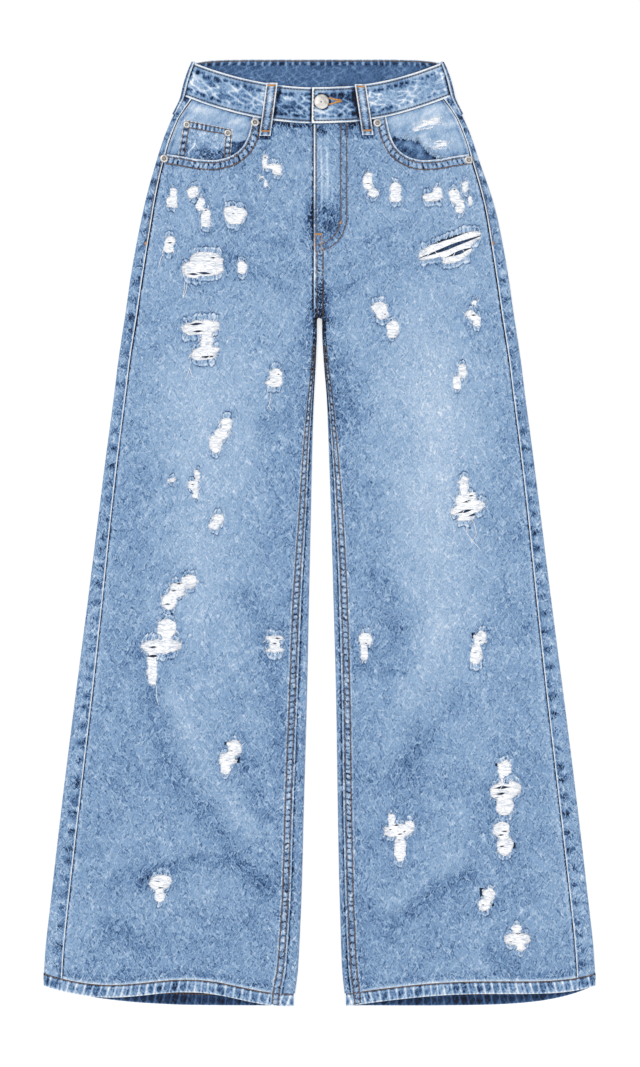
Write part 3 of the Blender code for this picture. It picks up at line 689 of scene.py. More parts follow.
# ----------------------------------------------------------------------------- finishes
class Nodes:
    """A short way to build one material's node tree."""

    def __init__(self, name: str) -> None:
        """Makes the material and finds its shader."""
        self.material = bpy.data.materials.new(name)
        self.material.use_nodes = True
        self.tree = self.material.node_tree
        self.shader = self.tree.nodes["Principled BSDF"]

    def add(self, kind: str, inputs: dict[str | int, object] | None = None,
            **settings: object) -> bpy.types.Node:
        """Adds a node.

        Args:
            kind: The node's type.
            inputs: Values or sockets for its inputs.
            settings: Its own properties.

        Returns:
            The node.
        """
        node = self.tree.nodes.new(kind)
        for key, value in settings.items():
            setattr(node, key, value)
        for key, value in (inputs or {}).items():
            self.feed(node.inputs[key], value)
        return node

    def feed(self, socket: Socket, value: object) -> None:
        """Links a socket to another, or sets its value."""
        if isinstance(value, Socket):
            self.tree.links.new(value, socket)
        else:
            socket.default_value = value

    def math(self, operation: str, first: object, second: object = 0.0, third: object = 0.0) -> Socket:
        """A math node's output."""
        node = self.add("ShaderNodeMath", {0: first, 1: second, 2: third}, operation=operation)
        return node.outputs[0]

    def shade(self, inputs: dict[str, object]) -> None:
        """Feeds the shader's inputs by name."""
        for name, value in inputs.items():
            self.feed(self.shader.inputs[name], value)

    def fit(self, value: object, factor: object, shift: object = 0.0) -> Socket:
        """A value times a factor, plus a shift."""
        return self.math("MULTIPLY_ADD", value, factor, shift)

    def noise(self, place: object, scale: float, detail: float = 2.0, warp: float = 0.0) -> Socket:
        """A noise texture's value."""
        inputs = {"Vector": place, "Scale": scale, "Detail": detail, "Distortion": warp}
        return self.add("ShaderNodeTexNoise", inputs).outputs[0]

    def bump(self, strength: float, distance: float, height: object) -> Socket:
        """A normal, tilted by a height."""
        inputs = {"Strength": strength, "Distance": distance, "Height": height}
        return self.add("ShaderNodeBump", inputs).outputs[0]

    def band(self, wave: object, level: float, half_width: float) -> Socket:
        """How near a wave is to a level: 1 on it, 0 beyond the half width."""
        off = self.math("ABSOLUTE", self.math("SUBTRACT", wave, level))
        return self.math("MAXIMUM", self.fit(off, -1 / half_width, 1.0), 0.0)

    def strokes(self, degrees: float, stretch: float, scale: float, half_width: float) -> Socket:
        """Thin curly strokes, each pale with a dark side of painted shade, as if each stroke were raised.

        Args:
            degrees: The way that the strokes tend to run, from upright.
            stretch: How short they are along it, 1 for as short as across.
            scale: How many there are in a metre.
            half_width: Half of a stroke's width, as a part of their spacing.

        Returns:
            The socket: above 0 where pale, below 0 where dark.
        """
        wave = self.noise(self.turned(degrees, (1, stretch, 1)), scale, 0.5, 0.7)
        # the dark side is painted shade beside each pale stroke
        dark = self.math("MULTIPLY", self.band(wave, 0.5 + 2 * half_width, half_width), 0.65)
        return self.math("SUBTRACT", self.band(wave, 0.5, half_width), dark)

    def ramp(self, factor: object, stops: Sequence[tuple[float, Sequence[float]]]) -> Socket:
        """A colour ramp's colour, from (place, colour as seen) stops."""
        node = self.add("ShaderNodeValToRGB", {"Fac": factor})
        ramp = node.color_ramp
        while len(ramp.elements) < len(stops):
            ramp.elements.new(0.5)
        for element, (place, seen) in zip(ramp.elements, stops):
            element.position = place
            element.color = (*(linear(c) for c in seen), 1.0)
        return node.outputs["Color"]

    def turned(self, degrees: float = 0.0, stretch: Sequence[float] = (1, 1, 1)) -> Socket:
        """Object places turned about Z, then stretched along each axis."""
        place = self.add("ShaderNodeTexCoord").outputs["Object"]
        turn = self.add("ShaderNodeMapping", {"Vector": place, "Rotation": (0, 0, math.radians(degrees))})
        return self.add("ShaderNodeMapping", {"Vector": turn.outputs[0], "Scale": stretch}).outputs[0]


def linear(seen: float) -> float:
    """A colour channel as seen on a screen, made linear."""
    return seen / 12.92 if seen <= 0.04045 else ((seen + 0.055) / 1.055) ** 2.4


@dataclass(frozen=True)
class Denim:
    """Washed twill: a dark to white dye, curly pale strokes each with painted shade beside it, and a fine
    grain; dark lowers the tone as painted shade for inner faces.
    """

    name: str
    dark: float = 0.0
    reach: float = 1.0
    turn: float = 0.0
    stops: tuple = (
        (0.0, (0.045, 0.07, 0.13)),
        (0.12, (0.13, 0.22, 0.355)),
        (0.27, (0.285, 0.41, 0.575)),
        (0.45, (0.485, 0.607, 0.748)),
        (0.58, (0.58, 0.685, 0.803)),
        (0.70, (0.67, 0.755, 0.855)),
        (0.85, (0.81, 0.86, 0.915)),
        (1.0, (0.94, 0.95, 0.965)),
    )

    def build(self) -> Material:
        """Makes the material.

        Returns:
            The material; it reads the piece's tone and crackle attributes and Object places.
        """
        n = Nodes(self.name)
        tone = n.add("ShaderNodeAttribute", attribute_name="tone").outputs["Fac"]
        crackle = n.add("ShaderNodeAttribute", attribute_name="crackle").outputs["Fac"]
        strokes = n.math("ADD", n.strokes(29 + self.turn, 0.36, 290, 0.05),
                         n.strokes(-31 + self.turn, 0.36, 250, 0.046))
        fine = n.noise(n.turned(12 + self.turn, (1, 0.6, 1)), 760, 0.0, 0.5)
        cloud = n.noise(n.turned(), 60)
        level = n.fit(tone, self.reach, 0.5 * (1 - self.reach) - self.dark)
        rise = n.fit(crackle, 0.19 * self.reach, 0.205 * self.reach)
        rise = n.math("MULTIPLY", rise, n.math("MAXIMUM", n.fit(tone, -1.1, 1.4), 0.35))
        marks = ((strokes, 0.14, rise), (fine, 0.5, 0.28 * self.reach), (cloud, 0.5, 0.02))
        for mark, middle, strength in marks:
            level = n.fit(n.math("SUBTRACT", mark, middle), strength, level)
        n.shade({
            "Base Color": n.ramp(level, self.stops),
            "Normal": n.bump(0.5, 0.0006, n.math("ADD", strokes, fine)),
            "Roughness": n.fit(fine, 0.12, 0.80),
            "Sheen Weight": 0.06,
            "Specular IOR Level": 0.22,
        })
        return n.material


@dataclass(frozen=True)
class Yarn:
    """Twisted thread: one colour that drifts, with a fine twist across it."""

    name: str
    colour: tuple[float, float, float]
    drift: float = 0.12

    def build(self) -> Material:
        """Makes the material."""
        n = Nodes(self.name)
        dark = tuple(c * (1 - self.drift * 2) for c in self.colour)
        light = tuple(min(1.0, c * (1 + self.drift)) for c in self.colour)
        stops = ((0.3, dark), (0.5, self.colour), (0.7, light))
        twist = n.add("ShaderNodeTexWave", {"Vector": n.turned(35), "Scale": 700.0}).outputs["Fac"]
        n.shade({
            "Base Color": n.ramp(n.noise(n.turned(), 260), stops),
            "Normal": n.bump(0.4, 0.0002, twist),
            "Roughness": 0.75,
            "Sheen Weight": 0.1,
        })
        return n.material


@dataclass(frozen=True)
class Weft:
    """Bare white weft, painted grey in thin lines as shade where its yarns lie apart, with a faint painted
    glow.
    """

    name: str
    colour: tuple[float, float, float] = (0.965, 0.967, 0.972)
    parting_shade: tuple[float, float, float] = (0.74, 0.77, 0.82)

    def build(self) -> Material:
        """Makes the material."""
        n = Nodes(self.name)
        waves = [n.noise(n.turned(turn, (1, 0.16, 1)), 420, 1.0, 0.5) for turn in (84, 97)]
        lines = n.math("MAXIMUM", *(n.band(wave, 0.5, 0.06) for wave in waves))
        n.shade({
            "Base Color": n.ramp(lines, ((0.3, self.colour), (0.95, self.parting_shade))),
            "Roughness": 0.8,
            # a faint painted glow brightens the weft
            "Emission Color": (0.96, 0.96, 0.97, 1),
            "Emission Strength": 0.035,
        })
        return n.material


@dataclass(frozen=True)
class Nickel:
    """Aged nickel, with fine scratches and tarnish."""

    name: str
    bright: float = 1.0

    def build(self) -> Material:
        """Makes the material."""
        n = Nodes(self.name)
        tarnish = n.noise(n.turned(), 260)
        seen = ((0.25, (0.62, 0.60, 0.58)), (0.45, (0.75, 0.735, 0.72)), (0.7, (0.83, 0.82, 0.81)))
        stops = [(place, tuple(c * self.bright for c in colour)) for place, colour in seen]
        scratch = n.noise(n.turned(20, (1, 0.1, 1)), 1500)
        n.shade({
            "Base Color": n.ramp(tarnish, stops),
            "Roughness": n.fit(tarnish, 0.2, 0.36),
            "Normal": n.bump(0.05, 0.0001, scratch),
            "Metallic": 0.8,
        })
        return n.material


class Finishes:
    """Every material of the garment."""

    def __init__(self) -> None:
        """Builds the materials."""
        self.denim = Denim("washed_denim").build()
        # the inside and hem-inside copies are darker: painted shade on the inner faces
        self.inside = Denim("denim_inside", dark=0.25, reach=0.66).build()
        self.deep = Denim("hem_inside", dark=0.36, reach=0.34).build()
        self.across = Denim("washed_denim_across", turn=90.0).build()
        self.weft = Weft("bare_weft").build()
        self.fray = Yarn("frayed_warp", (0.68, 0.78, 0.88), 0.14).build()
        self.tan = Yarn("tan_thread", (0.44, 0.35, 0.29), 0.2).build()
        self.dark = Yarn("dark_thread", (0.29, 0.235, 0.215), 0.2).build()
        self.orange = Yarn("orange_thread", (0.80, 0.57, 0.30), 0.12).build()
        self.metal = Nickel("aged_nickel").build()
        self.tarnish = Nickel("tarnished_nickel", 0.45).build()


FINISH = Finishes()


WAIST_LEAN = (0.0010, 0.0030)  # metres that the right and left sides lie to the wearer's right


def settle(obj: Piece, slot: str, *nodes: str) -> Piece:
    """Leans a piece with the waist and puts it in the frame.

    Args:
        obj: The piece.
        slot: Not used.
        nodes: The CAD nodes that it stands for.

    Returns:
        The piece.
    """
    places = np.empty(3 * len(obj.data.vertices))
    obj.data.vertices.foreach_get("co", places)
    across, up = places[::3].copy(), places[1::3]
    lean = np.where(across < 0, *WAIST_LEAN) * smooth(np.abs(across), 0.07, 0.06)
    places[::3] = across - lean * smooth(up, 0.345, 0.085)
    obj.data.vertices.foreach_set("co", places)
    obj.data.update()
    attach(obj, "root")
    if nodes:
        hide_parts(*nodes)
    LOG.info("%s: %d vertices", obj.name, len(obj.data.vertices))
    return obj


# ------------------------------------------------------------------------ sewing
@dataclass
class Cloth:
    """One sheet of cloth, from a table of points on its outer face."""

    name: str
    points: Table
    tones: Table
    wall: float = Lie.DENIM
    outer: Material = FINISH.denim
    inner: Material = FINISH.inside
    faces_up: bool = True
    probe: tuple[int | None, int | None] = (None, None)
    closed: bool = False
    crackle: Table | float = 0.3
    slot: str = "denim"
    is_node: bool = True
    obj: Piece | None = None

    def cut(self) -> tuple[float, float, float]:
        """The flat cut: its width, its length and its area, in metres."""
        steps_across = np.linalg.norm(np.diff(self.points, axis=1), axis=2)
        steps_up = np.linalg.norm(np.diff(self.points, axis=0), axis=2)
        wide, long = np.nansum(steps_across, axis=1).max(), np.nansum(steps_up, axis=0).max()
        right, up = self.points[:-1, 1:] - self.points[:-1, :-1], self.points[1:, :-1] - self.points[:-1, :-1]
        back, down = self.points[1:, :-1] - self.points[1:, 1:], self.points[:-1, 1:] - self.points[1:, 1:]
        halves = np.cross(right, up), np.cross(back, down)
        area = sum(np.nansum(np.linalg.norm(h, axis=2)) for h in halves) / 2
        return wide * MM, long * MM, min(area * MM * MM, wide * long * MM * MM)

    def turned_over(self) -> bool:
        """Whether the table's faces look the wrong way."""
        part = self.points[:, slice(*self.probe)]
        right, up = part[:-1, 1:] - part[:-1, :-1], part[1:, :-1] - part[:-1, :-1]
        return (np.nansum(np.cross(right, up)[..., 2]) > 0) != self.faces_up

    def lay(self) -> Piece:
        """Makes the sheet, one layer thick and turned the right way."""
        layers = {"tone": self.tones, "crackle": np.broadcast_to(self.crackle, self.tones.shape)}
        self.obj = cloth_grid(f"{self.name}_cloth", self.points, layers, self.closed)
        if self.turned_over():
            self.obj.data.flip_normals()
        return self.obj

    def finish(self) -> "Cloth":
        """Gives the laid sheet its wall, its materials and its place in the frame."""
        give_wall(self.obj, self.wall, self.outer, self.inner)
        settle(self.obj, self.slot, *([self.name] if self.is_node else []))
        return self

    def make(self) -> "Cloth":
        """Makes the whole sheet."""
        self.lay()
        return self.finish()

    def declare(self, rests_on: str, *with_pieces: Piece) -> None:
        """Logs the size and the area that the sheet was cut to."""
        wide, long, area = self.cut()
        LOG.info("%s: cut %.0f x %.0f mm, %.4f m2", self.name, wide / MM, long / MM, area)


class Thread:
    """Stitches of one colour on one piece, gathered and then sewn as one mesh."""

    def __init__(self, name: str, finish: Material, seed: int = 5) -> None:
        """Starts with no stitch.

        Args:
            name: The piece's name.
            finish: The thread's material.
            seed: Sets the small unevenness.
        """
        self.name = name
        self.finish = finish
        self.random = np.random.default_rng(seed)
        self.parts: list[tuple[Table, Table, Table, Table]] = []

    def add(self, centres: Table, along: Table, up: Table, length: float, radius: float) -> None:
        """Adds stitches.

        Args:
            centres: Their middles.
            along: Their directions.
            up: The cloth's normals under them.
            length: Length of each.
            radius: Half the thread's width.
        """
        along = along / np.linalg.norm(along, axis=1, keepdims=True)
        side = np.cross(up, along)
        side /= np.linalg.norm(side, axis=1, keepdims=True)
        turn = self.random.normal(0, 0.045, (len(centres), 1))
        along = along + turn * side
        size = length * (1 + self.random.normal(0, 0.06, len(centres)))
        sizes = np.stack([size / 2, np.full(len(centres), radius), np.full(len(centres), radius * 0.8)], 1)
        self.parts.append((centres, along, np.cross(side, along) * -1, sizes))

    def line(self, path: Table, normals: Table | Sequence[float], pitch: float = 3.4, length: float = 3.3,
             radius: float = 0.78) -> None:
        """Sews a line of stitches.

        Args:
            path: Points of the line on the cloth.
            normals: The cloth's normals there, or one normal for all of them.
            pitch: Spacing of the stitches.
            length: Length of each.
            radius: Half the thread's width.
        """
        run = run_along(path)
        count = max(1, int(run[-1] / pitch))
        places = (np.arange(count) + 0.5) * run[-1] / count
        normals = np.broadcast_to(normals, path.shape)

        def read(table: Table, off: float = 0.0) -> Table:
            """Rows of a table at the stitches' places, moved on by off."""
            return np.stack([np.interp(places + off, run, table[:, k]) for k in range(3)], 1)

        up = read(normals)
        self.add(read(path) + up * radius * 0.35, read(path, 0.8) - read(path, -0.8), up, length, radius)

    def line_on_front(self, x: Table, y: Table, out: float, **sizes: float) -> None:
        """Sews a line of stitches through places of the cut cloth, moved out by out."""
        self.line(LIE.on_front(x, y, out), front_normals(x, y), **sizes)

    def tack(self, start: Sequence[float], end: Sequence[float], up: Sequence[float], width: float) -> None:
        """Sews a bar tack: tight stitches across the line from start to end."""
        start, end, up = (np.asarray(v, float) for v in (start, end, up))
        count = max(3, int(np.linalg.norm(end - start) / 0.62))
        parts = (np.arange(count)[:, None] + 0.5) / count
        centres = start + (end - start) * parts
        ups = np.repeat(up[None], count, axis=0)
        across = np.cross(ups, np.repeat((end - start)[None], count, axis=0))
        self.add(centres + ups * 0.2, across, ups, width, 0.42)

    def make(self, *nodes: str) -> Piece:
        """Sews every stitch as a copy of one modelled stitch."""
        deselect()
        bpy.ops.mesh.primitive_uv_sphere_add(segments=6, ring_count=4, radius=1.0)
        model = bpy.context.active_object
        corners = np.array([v.co for v in model.data.vertices])[:, [2, 0, 1]]
        faces = [tuple(p.vertices) for p in model.data.polygons]
        bpy.data.objects.remove(model)
        centres, along, up, sizes = (np.concatenate([p[k] for p in self.parts]) for k in range(4))
        side = np.cross(up, along)
        axes = np.stack([along * sizes[:, :1], side * sizes[:, 1:2], up * sizes[:, 2:]], axis=1)
        places = centres[:, None, :] + np.einsum("vk,nkc->nvc", corners, axes)
        count, each = len(centres), len(corners)
        numbers = [tuple(n * each + v for v in face) for n in range(count) for face in faces]
        mesh = bpy.data.meshes.new(self.name)
        mesh.from_pydata((places.reshape(-1, 3) * MM).tolist(), [], numbers)
        mesh.shade_smooth()
        obj = bpy.data.objects.new(self.name, mesh)
        bpy.context.scene.collection.objects.link(obj)
        recalculate(obj)
        finish_mesh(obj, self.name, self.finish)
        return settle(obj, "thread", *nodes)


def recalculate(obj: Piece) -> None:
    """Turns every face of a closed mesh outwards."""
    activate(obj)
    with edit_mode():
        bpy.ops.mesh.select_all(action="SELECT")
        bpy.ops.mesh.normals_make_consistent(inside=False)


def strands(name: str, paths: Sequence[Table], radius: float, finish: Material,
            taper: float = 0.5, sides: int = 0) -> Piece:
    """Makes loose yarns as one mesh, each a thin tube along its own points.

    Args:
        name: The piece's name.
        paths: Points of each yarn in millimetres.
        radius: Half of a yarn's width.
        finish: Its material.
        taper: Width of a yarn's ends, as a part of its middle's.
        sides: The curve's bevel resolution.

    Returns:
        The piece.
    """
    line = bpy.data.curves.new(name, "CURVE")
    line.dimensions = "3D"
    line.bevel_depth = radius * MM
    line.bevel_resolution = sides
    line.use_fill_caps = True
    for path in paths:
        spline = line.splines.new("POLY")
        spline.points.add(len(path) - 1)
        places = np.concatenate([path * MM, np.ones((len(path), 1))], axis=1)
        spline.points.foreach_set("co", places.astype(np.float32).ravel())
        part = np.linspace(-1, 1, len(path))
        widths = 1 - (1 - taper) * part**4
        spline.points.foreach_set("radius", widths.astype(np.float32))
    obj = bpy.data.objects.new(name, line)
    bpy.context.scene.collection.objects.link(obj)
    activate(obj)
    bpy.ops.object.convert(target="MESH")
    obj.data.shade_smooth()
    finish_mesh(obj, name, finish)
    return settle(obj, "thread")


# ---------------------------------------------------------------------- damage
@dataclass(frozen=True)
class Tear:
    """A place worn through to the weft.

    Args:
        patches: Overlapping rounded patches: x, y, half width and half height of each.
        slope: Rise of its weft across.
        slots: Where the weft has parted: x, y and half length of each.
        hanging: Points of each loose yarn that hangs from it.
    """

    patches: tuple[tuple[float, float, float, float], ...]
    slope: float = 0.0
    slots: tuple[tuple[float, float, float], ...] = ()
    hanging: tuple[tuple[Point, ...], ...] = ()

    def edge(self, x: Table, y: Table) -> Table:
        """Distance outside the tear's ragged edge, below 0 inside."""
        nearest = np.full(np.shape(x), FAR)
        for middle_x, middle_y, wide, tall in self.patches:
            across = x - middle_x
            up = y - middle_y - self.slope * across
            u, v = np.abs(across / wide), np.abs(up / tall)
            form = np.maximum((u**2.6 + v**2.6)**(1 / 2.6), 0.05)
            rate = np.hypot((u / form)**1.6 / wide, (v / form)**1.6 / tall) + 1e-3
            nearest = np.minimum(nearest, (form - 1) / rate)
        return nearest + 1.0 * WANDER.at(x * 1.1, y, 3.6) + 0.5 * WANDER.at(x + 70, y + 40, 1.6)

    def box(self) -> tuple[float, float, float, float]:
        """Lowest and highest x, then lowest and highest y."""
        x, y, wide, tall = np.array(self.patches, float).T
        tall = tall + abs(self.slope) * wide
        return min(x - wide) - 3, max(x + wide) + 3, min(y - tall) - 3, max(y + tall) + 3


TEARS = {
    Side.RIGHT: (
        Tear(((-61, 415, 3, 9), (-54, 409, 6, 4), (-47, 405, 5, 7)), slots=((-61, 419, 1),)),
        Tear(((-65, 397, 2, 2), (-60, 390, 2, 4))),
        Tear(((-163, 378, 4, 8), (-165, 369, 6, 7))),
        Tear(((-141, 380, 6, 8), (-133, 367, 5, 9), (-127, 352, 5, 12)), 0.1,
             ((-136, 375, 1), (-127, 360, 1))),
        Tear(((-167, 326, 6, 6), (-169, 317, 6, 6)), slots=((-167, 324, 2),),
             hanging=(((-172, 314), (-178, 304), (-180, 296)),)),
        Tear(((-94, 357, 13, 8), (-95, 349, 9, 6)), -0.08, ((-96, 356, 1),)),
        Tear(((-126, 303, 18, 12), (-131, 295, 23, 9), (-142, 291, 10, 7)), -0.06,
             ((-129, 290, 5), (-141, 289, 4), (-119, 307, 2)),
             (((-146, 290), (-151, 276), (-152, 262), (-149, 272), (-147, 288)),)),
        Tear(((-86, 296, 5, 9),)),
        Tear(((-133, 229, 21, 9), (-126, 214, 7, 12), (-129, 200, 15, 8), (-116, 205, 4, 4)), 0.1,
             ((-138, 233, 5), (-136, 225, 4), (-128, 196, 4), (-121, 197, 2), (-146, 219, 2)),
             (((-144, 193), (-145, 184), (-151, 169)), ((-145, 184), (-142, 173)))),
        Tear(((-49, 174, 7, 10), (-51, 167, 9, 5)), slots=((-46, 177, 1), (-51, 168, 1)),
             hanging=(((-54, 161), (-55, 150), (-58, 138)), ((-57, 143), (-53, 136)))),
        Tear(((-104, 121, 6, 8), (-110, 110, 7, 8), (-116, 99, 7, 10))),
        Tear(((-137, 64, 3, 7), (-142, 53, 5, 6), (-139, 45, 3, 8)), slots=((-142, 54, 1),)),
        Tear(((-165, 59, 4, 4),)),
        Tear(((-113, 15, 6, 7), (-118, 8, 6, 5))),
        Tear(((-146, -55, 8, 9), (-159, -64, 9, 9), (-168, -77, 8, 10)), 0.05,
             ((-157, -57, 2), (-163, -65, 2), (-170, -80, 2))),
        Tear(((-171, -107, 10, 12), (-177, -127, 22, 9), (-187, -151, 5, 20)), 0.03,
             ((-186, -128, 3), (-186, -138, 5), (-185, -116, 2)),
             (((-182, -171), (-182, -182), (-180, -193)),)),
        Tear(((-50, -118, 10, 4), (-50, -125, 6, 8), (-50, -131, 10, 4)),
             slots=((-47, -118, 2), (-50, -124, 2))),
        Tear(((-95, -241, 7, 10), (-103, -253, 9, 8), (-105, -264, 5, 7)),
             slots=((-99, -244, 1), (-103, -254, 1))),
        Tear(((-178, -391, 12, 9), (-179, -405, 5, 9)), 0.03, ((-181, -390, 1), (-178, -397, 2))),
    ),
    Side.LEFT: (
        Tear(((54, 393, 5, 11), (60, 380, 6, 6)), 0.1, ((54, 390, 1), (59, 384, 1))),
        Tear(((85, 384, 6, 8), (85, 374, 7, 6))),
        Tear(((127, 375, 11, 6), (132, 381, 5, 6)), 0.05),
        Tear(((152, 376, 6, 9), (157, 365, 5, 9)), slots=((152, 383, 1),)),
        Tear(((164, 386, 3, 8),)),
        Tear(((169, 371, 2, 7),)),
        Tear(((146, 321, 35, 10), (153, 311, 17, 9), (119, 312, 8, 8)), 0.34,
             ((150, 331, 16), (148, 320, 24), (156, 313, 9), (133, 325, 3))),
        Tear(((67, 251, 8, 8), (70, 244, 6, 7)), slots=((73, 244, 1),)),
        Tear(((82, 227, 6, 11),), slots=((85, 221, 1),)),
        Tear(((173, 257, 2, 4),)),
        Tear(((169, 243, 5, 6), (176, 236, 4, 7)), slots=((172, 243, 2),)),
        Tear(((160, 181, 4, 9), (154, 168, 4, 9))),
        Tear(((161, 53, 5, 11), (163, 38, 11, 8), (166, 27, 19, 8), (164, 18, 10, 6)), 0.2,
             ((165, 35, 3), (163, 24, 6), (172, 20, 4), (169, 41, 2)),
             (((172, 16), (164, 2), (172, -10), (180, -20)), ((172, 14), (175, 0), (171, -10)))),
        Tear(((51, -119, 7, 8), (50, -133, 4, 11)), slots=((52, -124, 1),)),
        Tear(((180, -118, 6, 9), (175, -136, 6, 13)), 0.3, ((179, -121, 1), (174, -134, 1))),
        Tear(((81, -322, 4, 9), (89, -333, 17, 8), (100, -327, 5, 6), (90, -353, 6, 15)), 0.1,
             ((86, -327, 2), (79, -332, 1), (90, -337, 2), (95, -334, 1), (89, -344, 1))),
        Tear(((207, -265, 7, 12), (208, -288, 17, 11), (207, -305, 9, 12)), 0.12,
             ((204, -285, 6), (203, -292, 4), (198, -296, 1))),
        Tear(((203, -332, 9, 10), (207, -350, 8, 12)), 0.1,
             ((204, -320, 1), (207, -334, 2), (203, -338, 2), (204, -351, 2))),
        Tear(((190, -405, 6, 8), (184, -416, 6, 8)), slots=((183, -416, 1),)),
        Tear(((220, -444, 5, 8), (221, -454, 14, 8), (225, -464, 5, 5)), 0, ((222, -448, 2), (214, -457, 1))),
    ),
}


class Damage:
    """The tears of one side: holes, bare weft, frayed edges and loose yarns."""

    REACH = 5.0
    MARGIN = 9.0
    WEFT_PITCH = 0.74
    WEFT_RADIUS = 0.5
    HAIR_RADIUS = 0.42
    LIP_WALL = 0.25

    def __init__(self, side: Side, tears: Sequence[Tear] = (), lift: float = 0.0,
                 outline: float = 0.26) -> None:
        """Takes the tears of a side.

        Args:
            side: The side.
            tears: Its tears, where they aren't those of the front panel.
            lift: Height of the torn cloth above the front's face.
            outline: Tone of the shade round its frayed lips.
        """
        self.outline = outline
        self.side = side
        self.tears = tears or TEARS[side]
        self.lift = lift
        self.random = np.random.default_rng(31 + side.value)

    def edge(self, x: Table, y: Table) -> Table:
        """Distance outside the nearest tear."""
        nearest = np.full(np.shape(x), FAR)
        for tear in self.tears:
            low_x, high_x, low_y, high_y = tear.box()
            near = (np.abs(2 * x - low_x - high_x) < high_x - low_x + 2 * self.MARGIN)
            near &= np.abs(2 * y - low_y - high_y) < high_y - low_y + 2 * self.MARGIN
            nearest[near] = np.minimum(nearest[near], tear.edge(x[near], y[near]))
        return nearest

    def cut(self, obj: Piece) -> None:
        """Cuts the tears through a laid front, puffs up and fades their edges, and paints a ring of shade
        just beyond them.
        """
        places = vertex_places(obj)
        near = self.edge(places[:, 0], places[:, 1]) < self.REACH
        select_vertices(obj, near)
        activate(obj)
        with edit_mode():
            bpy.ops.mesh.select_mode(type="FACE")
            bpy.ops.mesh.subdivide(number_cuts=3)
        places = vertex_places(obj)
        x, y = places[:, 0], places[:, 1]
        edge = self.edge(x, y)
        places[:, 2] += 0.35 * bell(edge, 1.6, 1.7) + 0.2 * WANDER.at(x, y, 2.2) * bell(edge / 3.5)
        obj.data.vertices.foreach_set("co", (places * MM).astype(np.float32).ravel())
        tone = np.empty(len(x), dtype=np.float32)
        layer = obj.data.attributes["tone"]
        layer.data.foreach_get("value", tone)
        # the last term is painted shade just beyond the edge, under the lips
        tone += (0.04 + 0.2 * WANDER.at(x + 40, y, 2.4)) * bell(edge / 1.8) - 0.05 * bell(edge, 5, 3)
        layer.data.foreach_set("value", tone.astype(np.float32))
        remove_vertices(obj, edge < 0)
        obj.data.update()

    def spans(self, inside: Table, places: Table) -> list[tuple[float, float]]:
        """Where a row of samples lies inside: (first place, last place) pairs."""
        marks = np.diff(np.concatenate([[False], inside, [False]]).astype(int))
        starts, ends = np.flatnonzero(marks == 1), np.flatnonzero(marks == -1) - 1
        return [(places[a], places[b]) for a, b in zip(starts, ends)]

    def weft(self, tear: Tear) -> list[Table]:
        """Bare weft yarns that still cross a tear, parted at its slots.

        Args:
            tear: The tear.

        Returns:
            Points of each yarn.
        """
        low_x, high_x, low_y, high_y = tear.box()
        middle = (low_x + high_x) / 2
        slope = tear.slope + self.random.uniform(-0.05, 0.05)
        rise = abs(slope) * (high_x - low_x) / 2
        across = np.arange(low_x, high_x, 0.4)
        yarns = []
        for level in np.arange(low_y - rise, high_y + rise, self.WEFT_PITCH):
            level += self.random.normal(0, 0.07)
            for start, end in self.spans(tear.edge(across, level + slope * (across - middle)) < 0.5, across):
                x = np.linspace(start - 1.6, end + 1.6, max(7, int((end - start) / 2.2) + 4))
                part = np.linspace(0, 1, len(x))
                y = level + slope * (x - middle) + 0.5 * WANDER.at(x, level * 0.5, 9)
                for sx, sy, reach in tear.slots:
                    half = min(2.7, 0.75 + 0.2 * reach)
                    off = y - sy - slope * (x - sx)
                    spread = half * bell((x - sx) / reach / 1.1) * np.exp(-np.abs(off) / max(2.2, 1.8 * half))
                    y = y + np.where(off >= 0, spread, -spread)
                sag = np.sin(math.pi * part)
                z = (LIE.front_z(x, y) + self.lift - 1.1 + 0.7 * smooth(sag * 1.6)
                     + 0.32 * WANDER.at(x * 0.25, level * 2.0, 3.4) * sag)
                yarns.append(np.stack([x, y, z], axis=1))
        return yarns

    def rims(self, tear: Tear) -> list[Table]:
        """Runs along a tear's upper and lower edges.

        Args:
            tear: The tear.

        Returns:
            Rows of x, y, and 1 where the cloth lies above the edge or -1 where it lies below.
        """
        low_x, high_x, low_y, high_y = tear.box()
        across, up = np.arange(low_x, high_x, 0.7), np.arange(low_y, high_y, 0.3)
        x, y = np.meshgrid(across, up, indexing="ij")
        change = np.diff((tear.edge(x, y) < 0).astype(int), axis=1)
        runs, ends = [], []
        for column, place in enumerate(across):
            now = []
            for row in np.flatnonzero(change[column]):
                point = (place, up[row] + 0.15, -change[column, row])
                match = [r for r in ends if r[-1][2] == point[2] and abs(r[-1][1] - point[1]) < 2.2]
                run = match[0] if match else []
                if not match:
                    runs.append(run)
                run.append(point)
                now.append(run)
            ends = now
        return [np.array(run) for run in runs if len(run) > 4]

